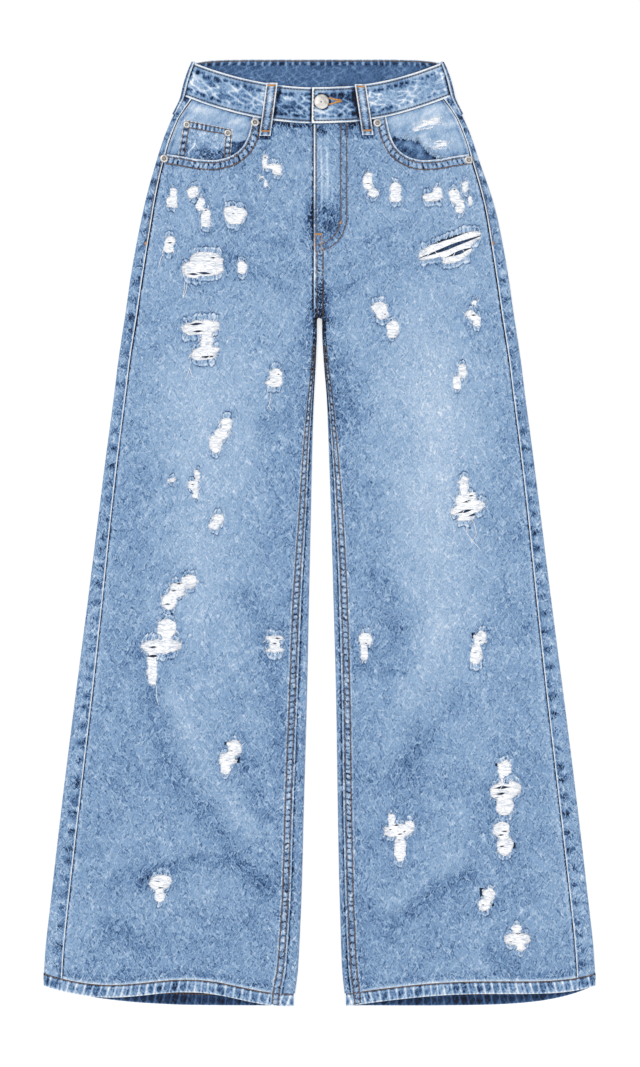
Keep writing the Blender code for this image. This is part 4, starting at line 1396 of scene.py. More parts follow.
    def lip(self, run: Table) -> tuple[Table, Table]:
        """A frayed lip of cloth, rolled back in lobes over one run of an edge.

        Args:
            run: The edge's run.

        Returns:
            Points and tones, in rows from the hole outwards.
        """
        x, y, way = run[:, 0], run[:, 1], run[0, 2]
        y = np.convolve(np.pad(y, 2, mode="edge"), np.full(5, 1 / 5), "valid")
        along = np.concatenate([[0.0], np.cumsum(np.hypot(np.diff(x), np.diff(y)))])
        lobe = from_lines(x + 3 * way + 2.8 * WANDER.at(x, y, 7), 3.9 if way > 0 else 5.8)
        full = min(7.5, 3.3 + 0.18 * along[-1]) * (0.9 + 0.35 * WANDER.at(x, y, 8))
        reach = full * (0.62 + 0.38 * np.sqrt(np.clip(lobe / (1.9 if way > 0 else 2.8), 0, 1)))
        reach = reach * (0.3 + 0.7 * smooth(np.minimum(along, along[-1] - along) / 2.5))
        t = np.array([0, 0.12, 0.26, 0.42, 0.58, 0.72, 0.84, 1.0])[:, None]
        out = np.concatenate([-0.8 + (reach + 0.3) * t, (reach + 0.1 + 0 * t[:1]), (reach + 1.0 + 0 * t[:1])])
        px = x + 0.5 * out * WANDER.at(x, 40.0, 5) + 0 * out
        py = y + way * out
        rise = 0.6 + 1.3 * np.sin(math.pi * (0.1 + 0.8 * t)) * (0.6 + 0.4 * smooth(lobe / 1.3))
        rise = np.concatenate([rise, 0.85 + 0 * rise[:1], 0.6 + 0 * rise[:1]])
        streak = NOISE.at(x * 1.6 + 7 * way + 1.2 * t, 3.0 + 0 * x + 0 * t, 1.7)
        # the dark between the lobes is painted shade, and so are the two flat outline rows added below
        tone = (0.57 + 0.20 * streak - 0.2 * bell(lobe / 0.6) + 0.24 * bell(t, 0.8, 0.14)
                - 0.10 * bell(t / 0.1))
        tone = np.concatenate([tone, self.outline + 0 * tone[:1], self.outline + 0.12 + 0 * tone[:1]])
        points = np.stack([px, py, LIE.front_z(px, py) + self.lift + rise], axis=-1)
        return points[::int(way)], tone[::int(way)]

    def lips(self, name: str) -> Piece:
        """Makes the lips of every tear as one piece."""
        gap, points, tones = np.full((10, 1, 3), np.nan), [], []
        for tear in self.tears:
            for run in self.rims(tear):
                place, tone = self.lip(run)
                points += [place, gap]
                tones += [tone, gap[..., 0]]
        tones = np.concatenate(tones[:-1], axis=1)
        layers = {"tone": tones, "crackle": np.full(tones.shape, 0.2)}
        obj = cloth_grid(name, np.concatenate(points[:-1], axis=1), layers)
        give_wall(obj, self.LIP_WALL, FINISH.denim, FINISH.inside)
        return settle(obj, "denim")

    def fringe(self, tear: Tear, spacing: float, least: float, most: float) -> list[Table]:
        """Cut warp ends, curled back over a tear's upper and lower edges.

        Args:
            tear: The tear.
            spacing: Their spacing along the edges.
            least: Length of the shortest.
            most: Length of the longest.

        Returns:
            Points of each short yarn.
        """
        low_x, high_x, low_y, high_y = tear.box()
        across, up = np.arange(low_x, high_x, spacing), np.arange(low_y, high_y, 0.4)
        across = across + self.random.normal(0, 0.25 * spacing, len(across))
        x, y = np.meshgrid(across, up, indexing="ij")
        change = np.diff((tear.edge(x, y) < 0.3).astype(int), axis=1)
        column, row = np.nonzero(change)
        way = -change[column, row]
        lean = 0.55 * (across[column] - (low_x + high_x) / 2) / (high_x - low_x)
        return self.warp_ends(across[column], up[row] + 0.2, way, lean, least, most)

    def warp_ends(self, x: Table, y: Table, way: Table, lean: Table | float, least: float,
                  most: float) -> list[Table]:
        """Curled ends that start on an edge and lie away from the hole.

        Args:
            x: Places across of their roots.
            y: Their roots' levels.
            way: 1 where the cloth lies above the root, -1 where it lies below.
            lean: How far each leans over, for its length.
            least: Length of the shortest.
            most: Length of the longest.

        Returns:
            Points of each end.
        """
        count = len(x)
        if not count:
            return []
        draw = self.random.uniform
        part = np.linspace(0, 1, 6)[None]
        inwards = draw(0, 1, count) < 0.14
        length = draw(least, most, count) * np.where(inwards, -0.5, 1.0) * way
        lean = lean + self.random.normal(0, 0.3, count) + 0.5 * WANDER.at(x, y * 0.2, 4.0)
        curl = draw(-1.0, 1.0, count)[:, None]
        reach = np.abs(length)[:, None]
        px = x[:, None] + reach * lean[:, None] * part**1.5 + curl * np.sin(math.pi * part)
        py = (y - way * 2.2)[:, None] + length[:, None] * part * (1 - 0.12 * np.abs(curl) * part**2)
        rise = draw(0.4, 1.3, count)[:, None] * np.sin(math.pi * (0.12 + 0.88 * part))
        pz = LIE.front_z(px, py) + self.lift + 0.5 + rise
        return list(np.stack([px, py, pz], axis=2))

    def loose(self, tear: Tear) -> list[Table]:
        """Long loose yarns that lie on the cloth below a tear."""
        found = []
        for route in tear.hanging:
            path = along_path(route, 1.6)
            wander = 0.7 * WANDER.at(path[:, 1], 3.0, 4)
            z = LIE.front_z(path[:, 0], path[:, 1]) + self.lift + 0.7 + 0.4 * WANDER.at(path[:, 1], 9.0, 5)
            found.append(np.stack([path[:, 0] + wander, path[:, 1], z], axis=1))
        return found

    def dress(self, prefix: str = "") -> list[Piece]:
        """Makes the yarns of every tear.

        Args:
            prefix: Start of the pieces' names.

        Returns:
            Their pieces.
        """
        word = self.side.word
        weft = [yarn for tear in self.tears for yarn in self.weft(tear)]
        hairs = [yarn for tear in self.tears for yarn in self.fringe(tear, 4.6, 2.0, 5.5)]
        loose = [yarn for tear in self.tears for yarn in self.loose(tear)]
        return [
            strands(f"{prefix}bare_weft_{word}", weft, self.WEFT_RADIUS, FINISH.weft, taper=0.6),
            strands(f"{prefix}frayed_hairs_{word}", hairs + loose, self.HAIR_RADIUS, FINISH.weft, taper=0.4),
        ] + ([] if prefix else [self.lips(f"frayed_lips_{word}")])


# ------------------------------------------------------------------- panel pieces
NEAR_EDGE = np.array([0.0, 0.7, 1.5, 2.5, 4.0, 6.0, 8.5, 11.5, 15.0])
SCOOP = ((-151.5, 420.0), (-135.0, 417.0), (-118.0, 416.0), (-103.0, 419.0), (-92.0, 425.0),
         (-84.5, 433.0), (-79.0, 445.0), (-74.5, 464.0))
SCOOP_SIDE_Y = 423.0
BAND_WALL = 0.9
UP, DOWN = (0.0, 0.0, 1.0), (0.0, 0.0, -1.0)
SCOOP_CENTRE = (360.0, 378.0, 394.0, 408.0, 418.0, 428.0, 437.0, 446.0)


def scoop_path(side: Side, step: float) -> Table:
    """The pocket mouth's edge, from the side seam to the waist seam."""
    start = (float(LIE.side_seam(Side.RIGHT, SCOOP_SIDE_Y)), SCOOP_SIDE_Y)
    path = along_path((start, *SCOOP), step)
    return path * (-side.value, 1)


def leg_levels(count: int) -> Table:
    """Levels of a panel's rows, from just above the hem to just below the crotch."""
    return np.linspace(Lie.HEM_CORNER + Lie.HEM_DEPTH + Lie.HALF_SEAM, Lie.CROTCH - Lie.TO_CROTCH, count)


def front_normals(x: Table, y: Table) -> Table:
    """The front's normals at some places of the cut cloth."""
    here, right, up = LIE.on_front(x, y), LIE.on_front(x + 0.5, y), LIE.on_front(x, y + 0.5)
    normal = np.cross(right - here, up - here)
    return normal / np.linalg.norm(normal, axis=-1, keepdims=True)


@dataclass
class FrontPanel:
    """A front: side seam to inseam and fly, hem to waistband, with the pocket mouth cut away."""

    side: Side
    row_step: float = 3.4
    columns: int = 44
    waist_rows: int = 6
    fly_x: float = Lie.FLY_X

    def table(self) -> tuple[Table, Table, Table]:
        """Works out the panel's places.

        Returns:
            Cut places (x and y), distance inside its outer edge, and inside its inner edge.
        """
        s, fly = self.side, self.fly_x + self.side.value * Lie.HALF_SEAM
        leg = leg_levels(216)
        hip = np.linspace(Lie.CROTCH + Lie.TO_CROTCH, SCOOP_SIDE_Y, 54)[:-1]
        centre = curve((241.5, 275, 310, 350, 388, 423), (241.5, 262, 285, 310, 336, 360), hip)
        mouth = scoop_path(s, self.row_step)[:-4]
        run = np.linspace(0, 1, len(mouth))
        knots = np.linspace(0, 1, len(SCOOP_CENTRE))
        outer = np.concatenate([
            np.stack([LIE.side_seam(s, leg) - s.value * Lie.HALF_SEAM, leg], 1),
            np.stack([LIE.side_seam(s, hip) - s.value * Lie.HALF_SEAM, hip], 1),
            mouth,
        ])
        inner = np.concatenate([
            np.stack([LIE.inseam(s, leg), leg], 1),
            np.stack([np.full(len(hip), fly), centre], 1),
            np.stack([np.full(len(mouth), fly), curve(knots, SCOOP_CENTRE, run)], 1),
        ])
        width = np.abs(outer[:, 0] - inner[:, 0])[:, None]
        middle = 15 + (width - 30) * np.linspace(0, 1, self.columns + 1)[None, 1:-1]
        start = np.broadcast_to(NEAR_EDGE, (len(width), len(NEAR_EDGE)))
        inside = np.concatenate([start, middle, width - NEAR_EDGE[None, ::-1]], axis=1)
        part = (inside / width)[..., None]
        cut = outer[:, None] * (1 - part) + inner[:, None] * part
        mouth_top = -s.value * SCOOP[-1][0]
        top_x = mouth_top + (fly - mouth_top) * part[-1, :, 0]
        top = np.stack([top_x, LIE.waist_seam(top_x)], 1)
        climb = (np.arange(1, self.waist_rows + 1) / self.waist_rows)[:, None, None]
        cut = np.concatenate([cut, cut[-1] * (1 - climb) + top * climb])
        inside = np.concatenate([inside, np.repeat(inside[-1:], self.waist_rows, 0)])
        width = np.concatenate([width, np.repeat(width[-1:], self.waist_rows, 0)])
        return cut, inside, width - inside

    def looks(self, cut: Table, from_outer: Table) -> tuple[Table, Table]:
        """How pale the panel is, with the wear at its seams and painted shade by its outer edge, the fly and
        the waistband, and how strong its strokes are.
        """
        x, y = cut[..., 0], cut[..., 1]
        # the dark term along the outer edge is painted shade in the side seam's gap and along the pocket
        # mouth
        tone = (LIE.tone(x, y) - (0.42 + 0.4 * smooth(y, 150, 80)) * bell(from_outer / 1.25)
                + 0.12 * bell(from_outer, 3.2, 1.2))
        if self.side is Side.RIGHT:
            # painted shadow beside the fly's edge
            tone = tone - 0.5 * bell((Lie.FLY_X - 0.6 - x) / 1.3) * smooth((y - Lie.CROTCH) / 20)
        under_band = LIE.waist(x) - y
        # painted shade just under the waistband
        tone = (tone - 0.26 * bell(under_band, 2.5, 3.2)
                + 0.09 * puckers(x, y * 0.3, 8) * bell(under_band / 13))
        above_hem = y - Lie.HEM_CORNER - Lie.HEM_DEPTH
        tone = tone + 0.5 * bell(above_hem, 0.8, 1.5) - 0.07 * bell(above_hem, 6, 4)
        near = np.minimum(np.abs(from_outer) + 6, np.minimum(np.abs(under_band), above_hem * 0.8))
        inner = np.abs(x) - LIE.gap(x, y) - LIE.inset(x, y) - 6
        near = np.minimum(near, np.where(y < Lie.CROTCH, np.abs(inner), np.abs(x - Lie.FLY_X)))
        return tone, 0.32 * bell(near / 8)

    def make(self) -> Cloth:
        """Makes the panel and cuts its tears."""
        cut, outer, inner = self.table()
        x, y = cut[..., 0], cut[..., 1]
        pull = 0.25 * puckers(y, x * 0.4, 17) * bell(outer, 4, 5)
        drop = -0.6 * bell(outer / 0.9) - 0.9 * bell(inner / 1.2) * (y < Lie.CROTCH)
        points = LIE.on_front(x, y, pull + drop)
        name = f"front_{self.side.word}"
        tone, crackle = self.looks(cut, outer)
        cloth = Cloth(name, points, tone, crackle=crackle)
        Damage(self.side).cut(cloth.lay())
        return cloth.finish()


@dataclass
class BackPanel:
    """A back: from the side seam round the outer fold, under the leg, to the inseam."""

    side: Side
    fold_turns: tuple[int, ...] = (0, 18, 36, 54, 72, 90)
    strip: tuple[float, ...] = (0.0, 0.04, 0.09, 0.17, 0.27, 0.39, 0.52, 0.66, 0.80, 0.92)

    def row(self, outer_y: float, inner_y: float, leg: bool, at_waist: bool = False) -> Table:
        """One row of the piece.

        Args:
            outer_y: Its level at the side seam.
            inner_y: Its level at the inseam or the centre back.
            leg: Whether it goes on round the inner fold.
            at_waist: Whether it follows the waist seam.

        Returns:
            Points: x, y, z, then the distance from the nearer seam.
        """
        wide, sign = float(LIE.read("half_width", outer_y)), self.side.value
        gap = float(LIE.gap(sign, inner_y)) if leg else Lie.HALF_SEAM
        seam = float(LIE.read("side_inset", outer_y)) - Lie.HALF_SEAM
        flap = float(LIE.inset(sign, inner_y)) - Lie.HALF_SEAM
        arc = Lie.EDGE * (1 - np.cos(np.radians(self.fold_turns)))
        strip = seam - (seam - Lie.EDGE) * np.array(self.strip)
        front_x = wide - np.concatenate([strip, arc[:0:-1]])
        under = np.linspace(wide - Lie.EDGE, gap + Lie.EDGE, 28)[1:-1]
        back_x = np.concatenate([wide - arc, under, gap + arc[::-1]])
        flap_x = gap + flap * np.array([0.12, 0.3, 0.5, 0.7, 0.85, 0.95, 1.0])

        def level(x: Table, front: bool) -> Table:
            """The row's level across it."""
            if at_waist:
                return LIE.waist_seam(x, front)
            return np.full(len(x), outer_y) if front else inner_y + (outer_y - inner_y) * x / wide

        front = LIE.on_front(sign * front_x, level(front_x, True))
        under_points = LIE.on_back(sign * back_x, level(back_x, False))
        inner = LIE.on_front(sign * flap_x, np.full(len(flap_x), inner_y))
        if not leg:
            inner = inner * np.nan
        seam_off = [seam - (wide - front_x), np.minimum(60, back_x - gap + 20), flap - flap_x + gap]
        points = np.concatenate([front, under_points, inner])
        return np.concatenate([points, np.concatenate(seam_off)[:, None]], axis=1)

    def levels(self) -> list[tuple[float, float, bool]]:
        """Levels of the rows: at the side seam, at the inseam, and whether on the leg."""
        leg = leg_levels(112)
        rows = [(float(y), float(y), True) for y in leg]
        hip = np.linspace(Lie.CROTCH + Lie.TO_CROTCH, Lie.YOKE_SIDE - Lie.HALF_SEAM, 36)
        knots = (241.5, 275, 310, 350, 388, 423, 460.85)
        centre = curve(knots, (241.5, 272, 304, 338, 368, 394, 414.85), hip)
        return rows + [(float(a), float(b), False) for a, b in zip(hip, centre)]

    def tones(self, table: Table) -> Table:
        """How pale the piece is: blotches by the side seam, white seam edges, and painted shade along its
        edge at the inseam.
        """
        x, y, seam = table[..., 0], table[..., 1], table[..., 3]
        tone = LIE.tone(x, y) * 0.6 + 0.2
        outside = tone + 0.66 * bell(seam / 0.85) - 0.14 * bell(seam, 2.6, 1.2)
        blotch = np.maximum(0, puckers(y, x * 0.3, 18.5)) ** 0.7
        outside = (outside - 0.44 * blotch * bell(seam, 6.2, 4.2)
                   + 0.05 * (1 - blotch) * bell(seam, 6, 6))
        # painted shade along the edge at the inseam
        inside = tone + 0.02 - 0.36 * bell(seam, 0.7, 1.0)
        return np.where(np.abs(x) < LIE.gap(x, y) + LIE.inset(x, y) + 1.5, inside, outside)

    def make(self) -> Cloth:
        """Makes the panel."""
        table = np.array([self.row(a, b, leg) for a, b, leg in self.levels()])
        return self.lay(f"back_{self.side.word}", table)

    def make_yoke(self) -> Cloth:
        """Makes the yoke above the panel."""
        first = (Lie.YOKE_SIDE + Lie.HALF_SEAM, Lie.YOKE_CENTRE + Lie.HALF_SEAM)
        last = (474.0, 450.0)
        rows = [self.row(first[0] + (last[0] - first[0]) * t, first[1] + (last[1] - first[1]) * t, False)
                for t in np.linspace(0, 1, 9)]
        top = self.row(Lie.WAIST_BOTTOM, Lie.WAIST_BOTTOM, False, at_waist=True)
        rows += [rows[8] * (1 - t) + top * t for t in np.linspace(0, 1, 8)[1:]]
        return self.lay(f"yoke_{self.side.word}", np.array(rows))

    def lay(self, name: str, table: Table) -> Cloth:
        """Makes a piece from its table of rows."""
        points = table[..., :3].copy()
        arcs = len(self.strip) + len(self.fold_turns) - 1
        return Cloth(name, points, self.tones(table), faces_up=False, probe=(arcs + 6, arcs + 30)).make()


@dataclass
class Hem:
    """A leg's turned hem: a ring, roped into slanting blocks by its stitching."""

    side: Side
    step: float = 1.3
    levels: int = 15
    pitch: float = 8.8
    stitch_at: float = 0.7

    def reach(self) -> tuple[float, float]:
        """Distances of the ring's outer and inner folds from the middle."""
        y = Lie.HEM_CORNER
        return float(LIE.read("half_width", y)), float(LIE.gap(self.side.value, y))

    def around(self) -> tuple[Table, Table]:
        """Places across the ring: x, and whether each is on the front."""
        wide, gap = self.reach()
        arc = Lie.EDGE * (1 - np.cos(np.radians(np.arange(0, 91, 15))))
        count = int((wide - gap) / self.step)
        middle = np.linspace(wide - Lie.EDGE, gap + Lie.EDGE, count)[1:-1]
        front = np.concatenate([wide - arc, middle, gap + arc[::-1]])
        back = front[::-1][1:]
        return np.concatenate([front, back]), np.concatenate([np.ones(len(front)), np.zeros(len(back))]) > 0

    def table(self) -> tuple[Table, Table]:
        """Works out the ring's points and tones."""
        x, on_front = self.around()
        sign = self.side.value
        rows, tones = [], []
        low, high = Lie.HEM_CORNER, Lie.HEM_CORNER + Lie.HEM_DEPTH - Lie.HALF_SEAM
        for part in np.linspace(0, 1, self.levels):
            y = np.full(len(x), low + (high - low) * part)
            slant = x + 3.6 * part * (1 + 0.9 * WANDER.at(x, 7.0, 40))
            ridge, fork = from_lines(slant, self.pitch), from_lines(x + 4.4 - 6.5 * part, self.pitch)
            forked = smooth((0.42 - part) / 0.2)
            round_edge = np.sqrt(np.clip(1 - (2 * part - 1) ** 4, 0, 1))
            crest = bell(ridge / 1.6) + 0.6 * forked * bell(fork / 1.4)
            puff = (0.75 * round_edge + 0.5 * crest * math.sin(math.pi * min(1, part * 1.15)) - 0.6
                    - 0.6 * bell(part, 0.95, 0.05))
            top = LIE.on_front(sign * x, y, puff)
            bottom = LIE.on_back(sign * x, y, puff * 0.35)
            rows.append(np.where(on_front[:, None], top, bottom))
            tone = (0.38 + 0.16 * NOISE.at(x * 1.3, part * 14, 5) + 0.10 * NOISE.at(x, 60.0, 14)
                    - 0.13 * bell(ridge, 2.6, 1.2) + 0.44 * bell(ridge / 0.95)
                    + 0.40 * forked * bell(fork / 0.9) + 0.5 * bell(part / 0.08)
                    + 0.16 * bell(part, 0.78, 0.08) - 0.2 * bell(part, 0.94, 0.05))
            for seam in self.seams():
                off = x - seam
                tone = tone + np.where(on_front, 0.35 * bell(off / 1.1) - 0.3 * bell(off, 2.4, 0.8), 0)
            tones.append(tone)
        return np.array(rows), np.array(tones)

    def seams(self) -> tuple[float, ...]:
        """Where the seams cross the hem."""
        y = Lie.HEM_CORNER
        inner = abs(float(LIE.inseam(self.side, y)))
        return abs(float(LIE.side_seam(self.side, y))), inner, inner + 9.0

    def make(self) -> Cloth:
        """Makes the hem."""
        points, tones = self.table()
        on_front = self.around()[1]
        return Cloth(f"hem_{self.side.word}", points, tones, Lie.BAND, inner=FINISH.deep, closed=True,
                     probe=(10, int(on_front.sum()) - 10), crackle=-0.2).make()

    def sew(self, thread: Thread) -> None:
        """Sews the hem's line of stitches, on the outside all round and on the inner back."""
        sign = self.side.value
        wide, gap = self.reach()
        x = sign * np.linspace(wide - 1.6, gap + 1.6, 180)
        y = np.full(len(x), Lie.HEM_CORNER + Lie.HEM_DEPTH - self.stitch_at)
        thread.line_on_front(x, y, 0.1, radius=0.7)
        thread.line(LIE.on_back(x, y, -0.6), DOWN, radius=0.3)
        thread.line(LIE.on_back(x, y - 0.6, -Lie.BAND - 0.4), UP)


@dataclass
class SewnBand:
    """A sewn band on the front: a felled seam or a turned edge, gathered by its stitching."""

    name: str
    path: Table
    width: float
    lines: tuple[float, ...] = (1.2, 8.2)
    pitch: float = 5.8
    step: float = 0.95
    height: float = 0.75
    free_end: bool = False
    dark: float = 0.06
    depth: float = 0.26
    rim: float = 0.6
    far_rim: float = 0.12
    scale: Table | float = 1.0

    def make(self) -> Piece:
        """Makes the band; its start side follows the path, its end side lies to the left."""
        across = np.linspace(0, self.width, int(abs(self.width) / self.step) + 1)
        places = np.stack([beside_path(self.path, o * self.scale) for o in across], axis=1)
        run = run_along(self.path[:, :2])
        along, off = np.meshgrid(run, np.abs(across), indexing="ij")
        x, y = places[..., 0], places[..., 1]
        first, last = self.lines[0], self.lines[-1]
        part = np.clip((off - first) / (last - first), 0, 1)
        groove = bell(from_lines(along + off * 0.25, self.pitch) / 0.85)
        gather = (0.85 - 1.7 * groove) * (4 * part * (1 - part)) ** 0.5
        grooves = sum(bell((off - line) / 0.8) for line in self.lines)
        wide = abs(self.width)
        out = (self.height + 0.42 * gather - 0.45 * grooves - 0.35 * bell(off / 0.8)
               - (0.35 if self.free_end else self.height + 0.5) * smooth(off - wide, -1.6, 1.6))
        depth = self.depth * (1 + 0.5 * WANDER.at(along, off * 0.5, 9))
        tone = (LIE.tone(x, y) - self.dark + depth * gather - 0.13 * grooves
                # painted shade near the crotch
                - 0.3 * smooth(y, 150, 60) * smooth((259 - y) / 14)
                + self.rim * bell(off, 0.5, 1.0) + self.far_rim * bell(off - last, 1.9, 1.0)
                + 0.10 * NOISE.at(x * 1.5, y * 1.5, 4))
        points = LIE.on_front(x, y, out)
        return Cloth(self.name, points, tone, BAND_WALL, crackle=0.5, is_node=False).make().obj

    def sew(self, thread: Thread, highest: float = 600.0, lowest: float = -600.0) -> None:
        """Sews the band's lines between two levels."""
        for line in self.lines:
            places = beside_path(self.path, math.copysign(line, self.width) * self.scale)
            x, y = places[(places[:, 1] < highest) & (places[:, 1] > lowest)].T
            thread.line_on_front(x, y, self.height - 0.28, radius=0.7 + 0.02 * line)


@dataclass
class Fly:
    """The left front's turned fly edge and its curved double line of stitches."""

    bottom: float = 313.7
    top: float = 456.3
    bend: float = 352.0
    outer_x: float = 30.2
    inner_x: float = 23.5
    line_gap: float = 7.4
    edge_line: float = 2.6
    height: float = 0.6

    def reach(self, y: Table, x: float, bottom: float) -> Table:
        """Place across of a line that runs down at x and then curves in to the fly's edge."""
        part = np.clip((self.bend - y) / (self.bend - bottom), 0, 1)
        return Lie.FLY_X + (x - Lie.FLY_X) * np.sqrt(1 - part**2)

    def curve_points(self, x: float, bottom: float) -> Table:
        """Points of such a line, from the waist seam to the fly's edge."""
        turn = np.radians(np.linspace(0, 88, 30))
        top = float(LIE.waist(x)) - 1.2
        straight = np.stack([np.full(40, x), np.linspace(top, self.bend, 40)], 1)
        bent = np.stack([Lie.FLY_X + (x - Lie.FLY_X) * np.cos(turn),
                         self.bend - (self.bend - bottom) * np.sin(turn)], 1)
        return np.concatenate([straight, bent[1:]])

    def make(self) -> Piece:
        """Makes the fly's upper layer."""
        low = self.bottom - 2.6
        bend_levels = low + 1.2 * (np.arange(22) / 21) ** 2 * 12
        y = np.concatenate([bend_levels, np.arange(low + 15.5, self.top, 1.25)])
        edge = self.reach(y, self.outer_x + 2.8, low)
        f = np.linspace(0, 1, 36)[None]
        x = Lie.FLY_X + Lie.HALF_SEAM + (edge - Lie.FLY_X - Lie.HALF_SEAM)[:, None] * f
        top = LIE.waist_seam(x)
        climb = smooth(y, 420, 36)[:, None]
        y = y[:, None] + (top - self.top) * climb
        outer = self.reach(y, self.outer_x, self.bottom) - x
        inner = self.reach(y, self.inner_x, self.bottom + self.line_gap) - x
        left = x - Lie.FLY_X
        between = smooth(outer / 1.2) * smooth((1.0 - inner) / 1.2)
        gather = puckers(y * 0.9 + x * 0.7, x * 0.3, 7.5)
        grooves = bell(outer / 0.8) + bell(inner / 0.8) + bell((left - self.edge_line) / 0.7)
        out = (self.height + 0.2 * gather * between - 0.4 * grooves - 0.3 * bell(left / 0.7)
               + 0.5 * NOISE.at(x, y * 0.14, 4.2) * bell(x, 4, 10))
        rim = edge[:, None] - x
        out = out - (self.height + 0.5) * smooth((1.8 - rim) / 1.8)
        tone = (LIE.tone(x, y) + (0.07 * gather - 0.03) * between - 0.12 * grooves
                + 0.6 * bell(left, 0.5, 1.1))
        streak = NOISE.at(x, y * 0.10, 3.6) + 0.5 * NOISE.at(x + 90, y * 0.16, 2.0)
        tone = tone + (0.03 + 0.12 * streak) * bell(x, 3.5, 9.5) * smooth(y, 365, 14)
        low = smooth((436 - y) / 8) * smooth(y, 344, 12)
        for place in (1.8 + 0.9 * WANDER.at(y, 4.0, 22), 8.4 + 1.1 * WANDER.at(y, 8.0, 26)):
            tone = tone + 0.28 * bell((x - place) / 1.1) * low * (0.8 + 0.6 * NOISE.at(x, y * 0.2, 5))
        tone = tone - 0.24 * bell(x, 3, 6) * bell(y, 447, 9) * (1 + NOISE.at(x, y, 6))
        web = np.minimum(from_lines(x + 1.5 * WANDER.at(y, 2.0, 9), 9.5), from_lines(y + 0.5 * x, 13.0))
        patch = (bell(np.hypot((x - 8) / 19, (y - 348) / 24)) * (0.95 + 0.4 * NOISE.at(x, y * 0.8, 7))
                 + 0.55 * bell(np.hypot((x - 16) / 13, (y - 458) / 13)))
        patch = np.clip(patch * (1 - 0.6 * bell(web / 1.1)), 0, 0.9)
        tone = tone - 0.05 * bell(x, 4, 7) * low + (0.17 - tone) * patch
        points = LIE.on_front(x, y, out)
        return Cloth("fly_edge", points, tone, BAND_WALL, crackle=0.1, is_node=False).make().obj

    def sew(self, brown: Thread, orange: Thread) -> None:
        """Sews the fly's lines and its bar tacks."""
        edge_y = np.linspace(456, 335, 90)
        runs = (self.curve_points(self.outer_x, self.bottom),
                self.curve_points(self.inner_x, self.bottom + self.line_gap),
                np.stack([np.full(90, Lie.FLY_X + self.edge_line), edge_y], 1))
        for places in runs:
            brown.line_on_front(*places.T, self.height - 0.2)
        for start, end, width in (((-5.6, 333.3), (2.6, 333.3), 2.4), ((23.0, 344.5), (23.6, 347.4), 2.6)):
            ends = [LIE.on_front(np.array(p[0]), np.array(p[1]), self.height + 0.5) for p in (start, end)]
            orange.tack(ends[0], ends[1], UP, width)
        for x in (-5.0, 2.6):
            y = np.linspace(331.6, 315.5, 12)
            orange.line_on_front(np.full(12, x), y, self.height + 0.2, pitch=2.6, length=2.2)


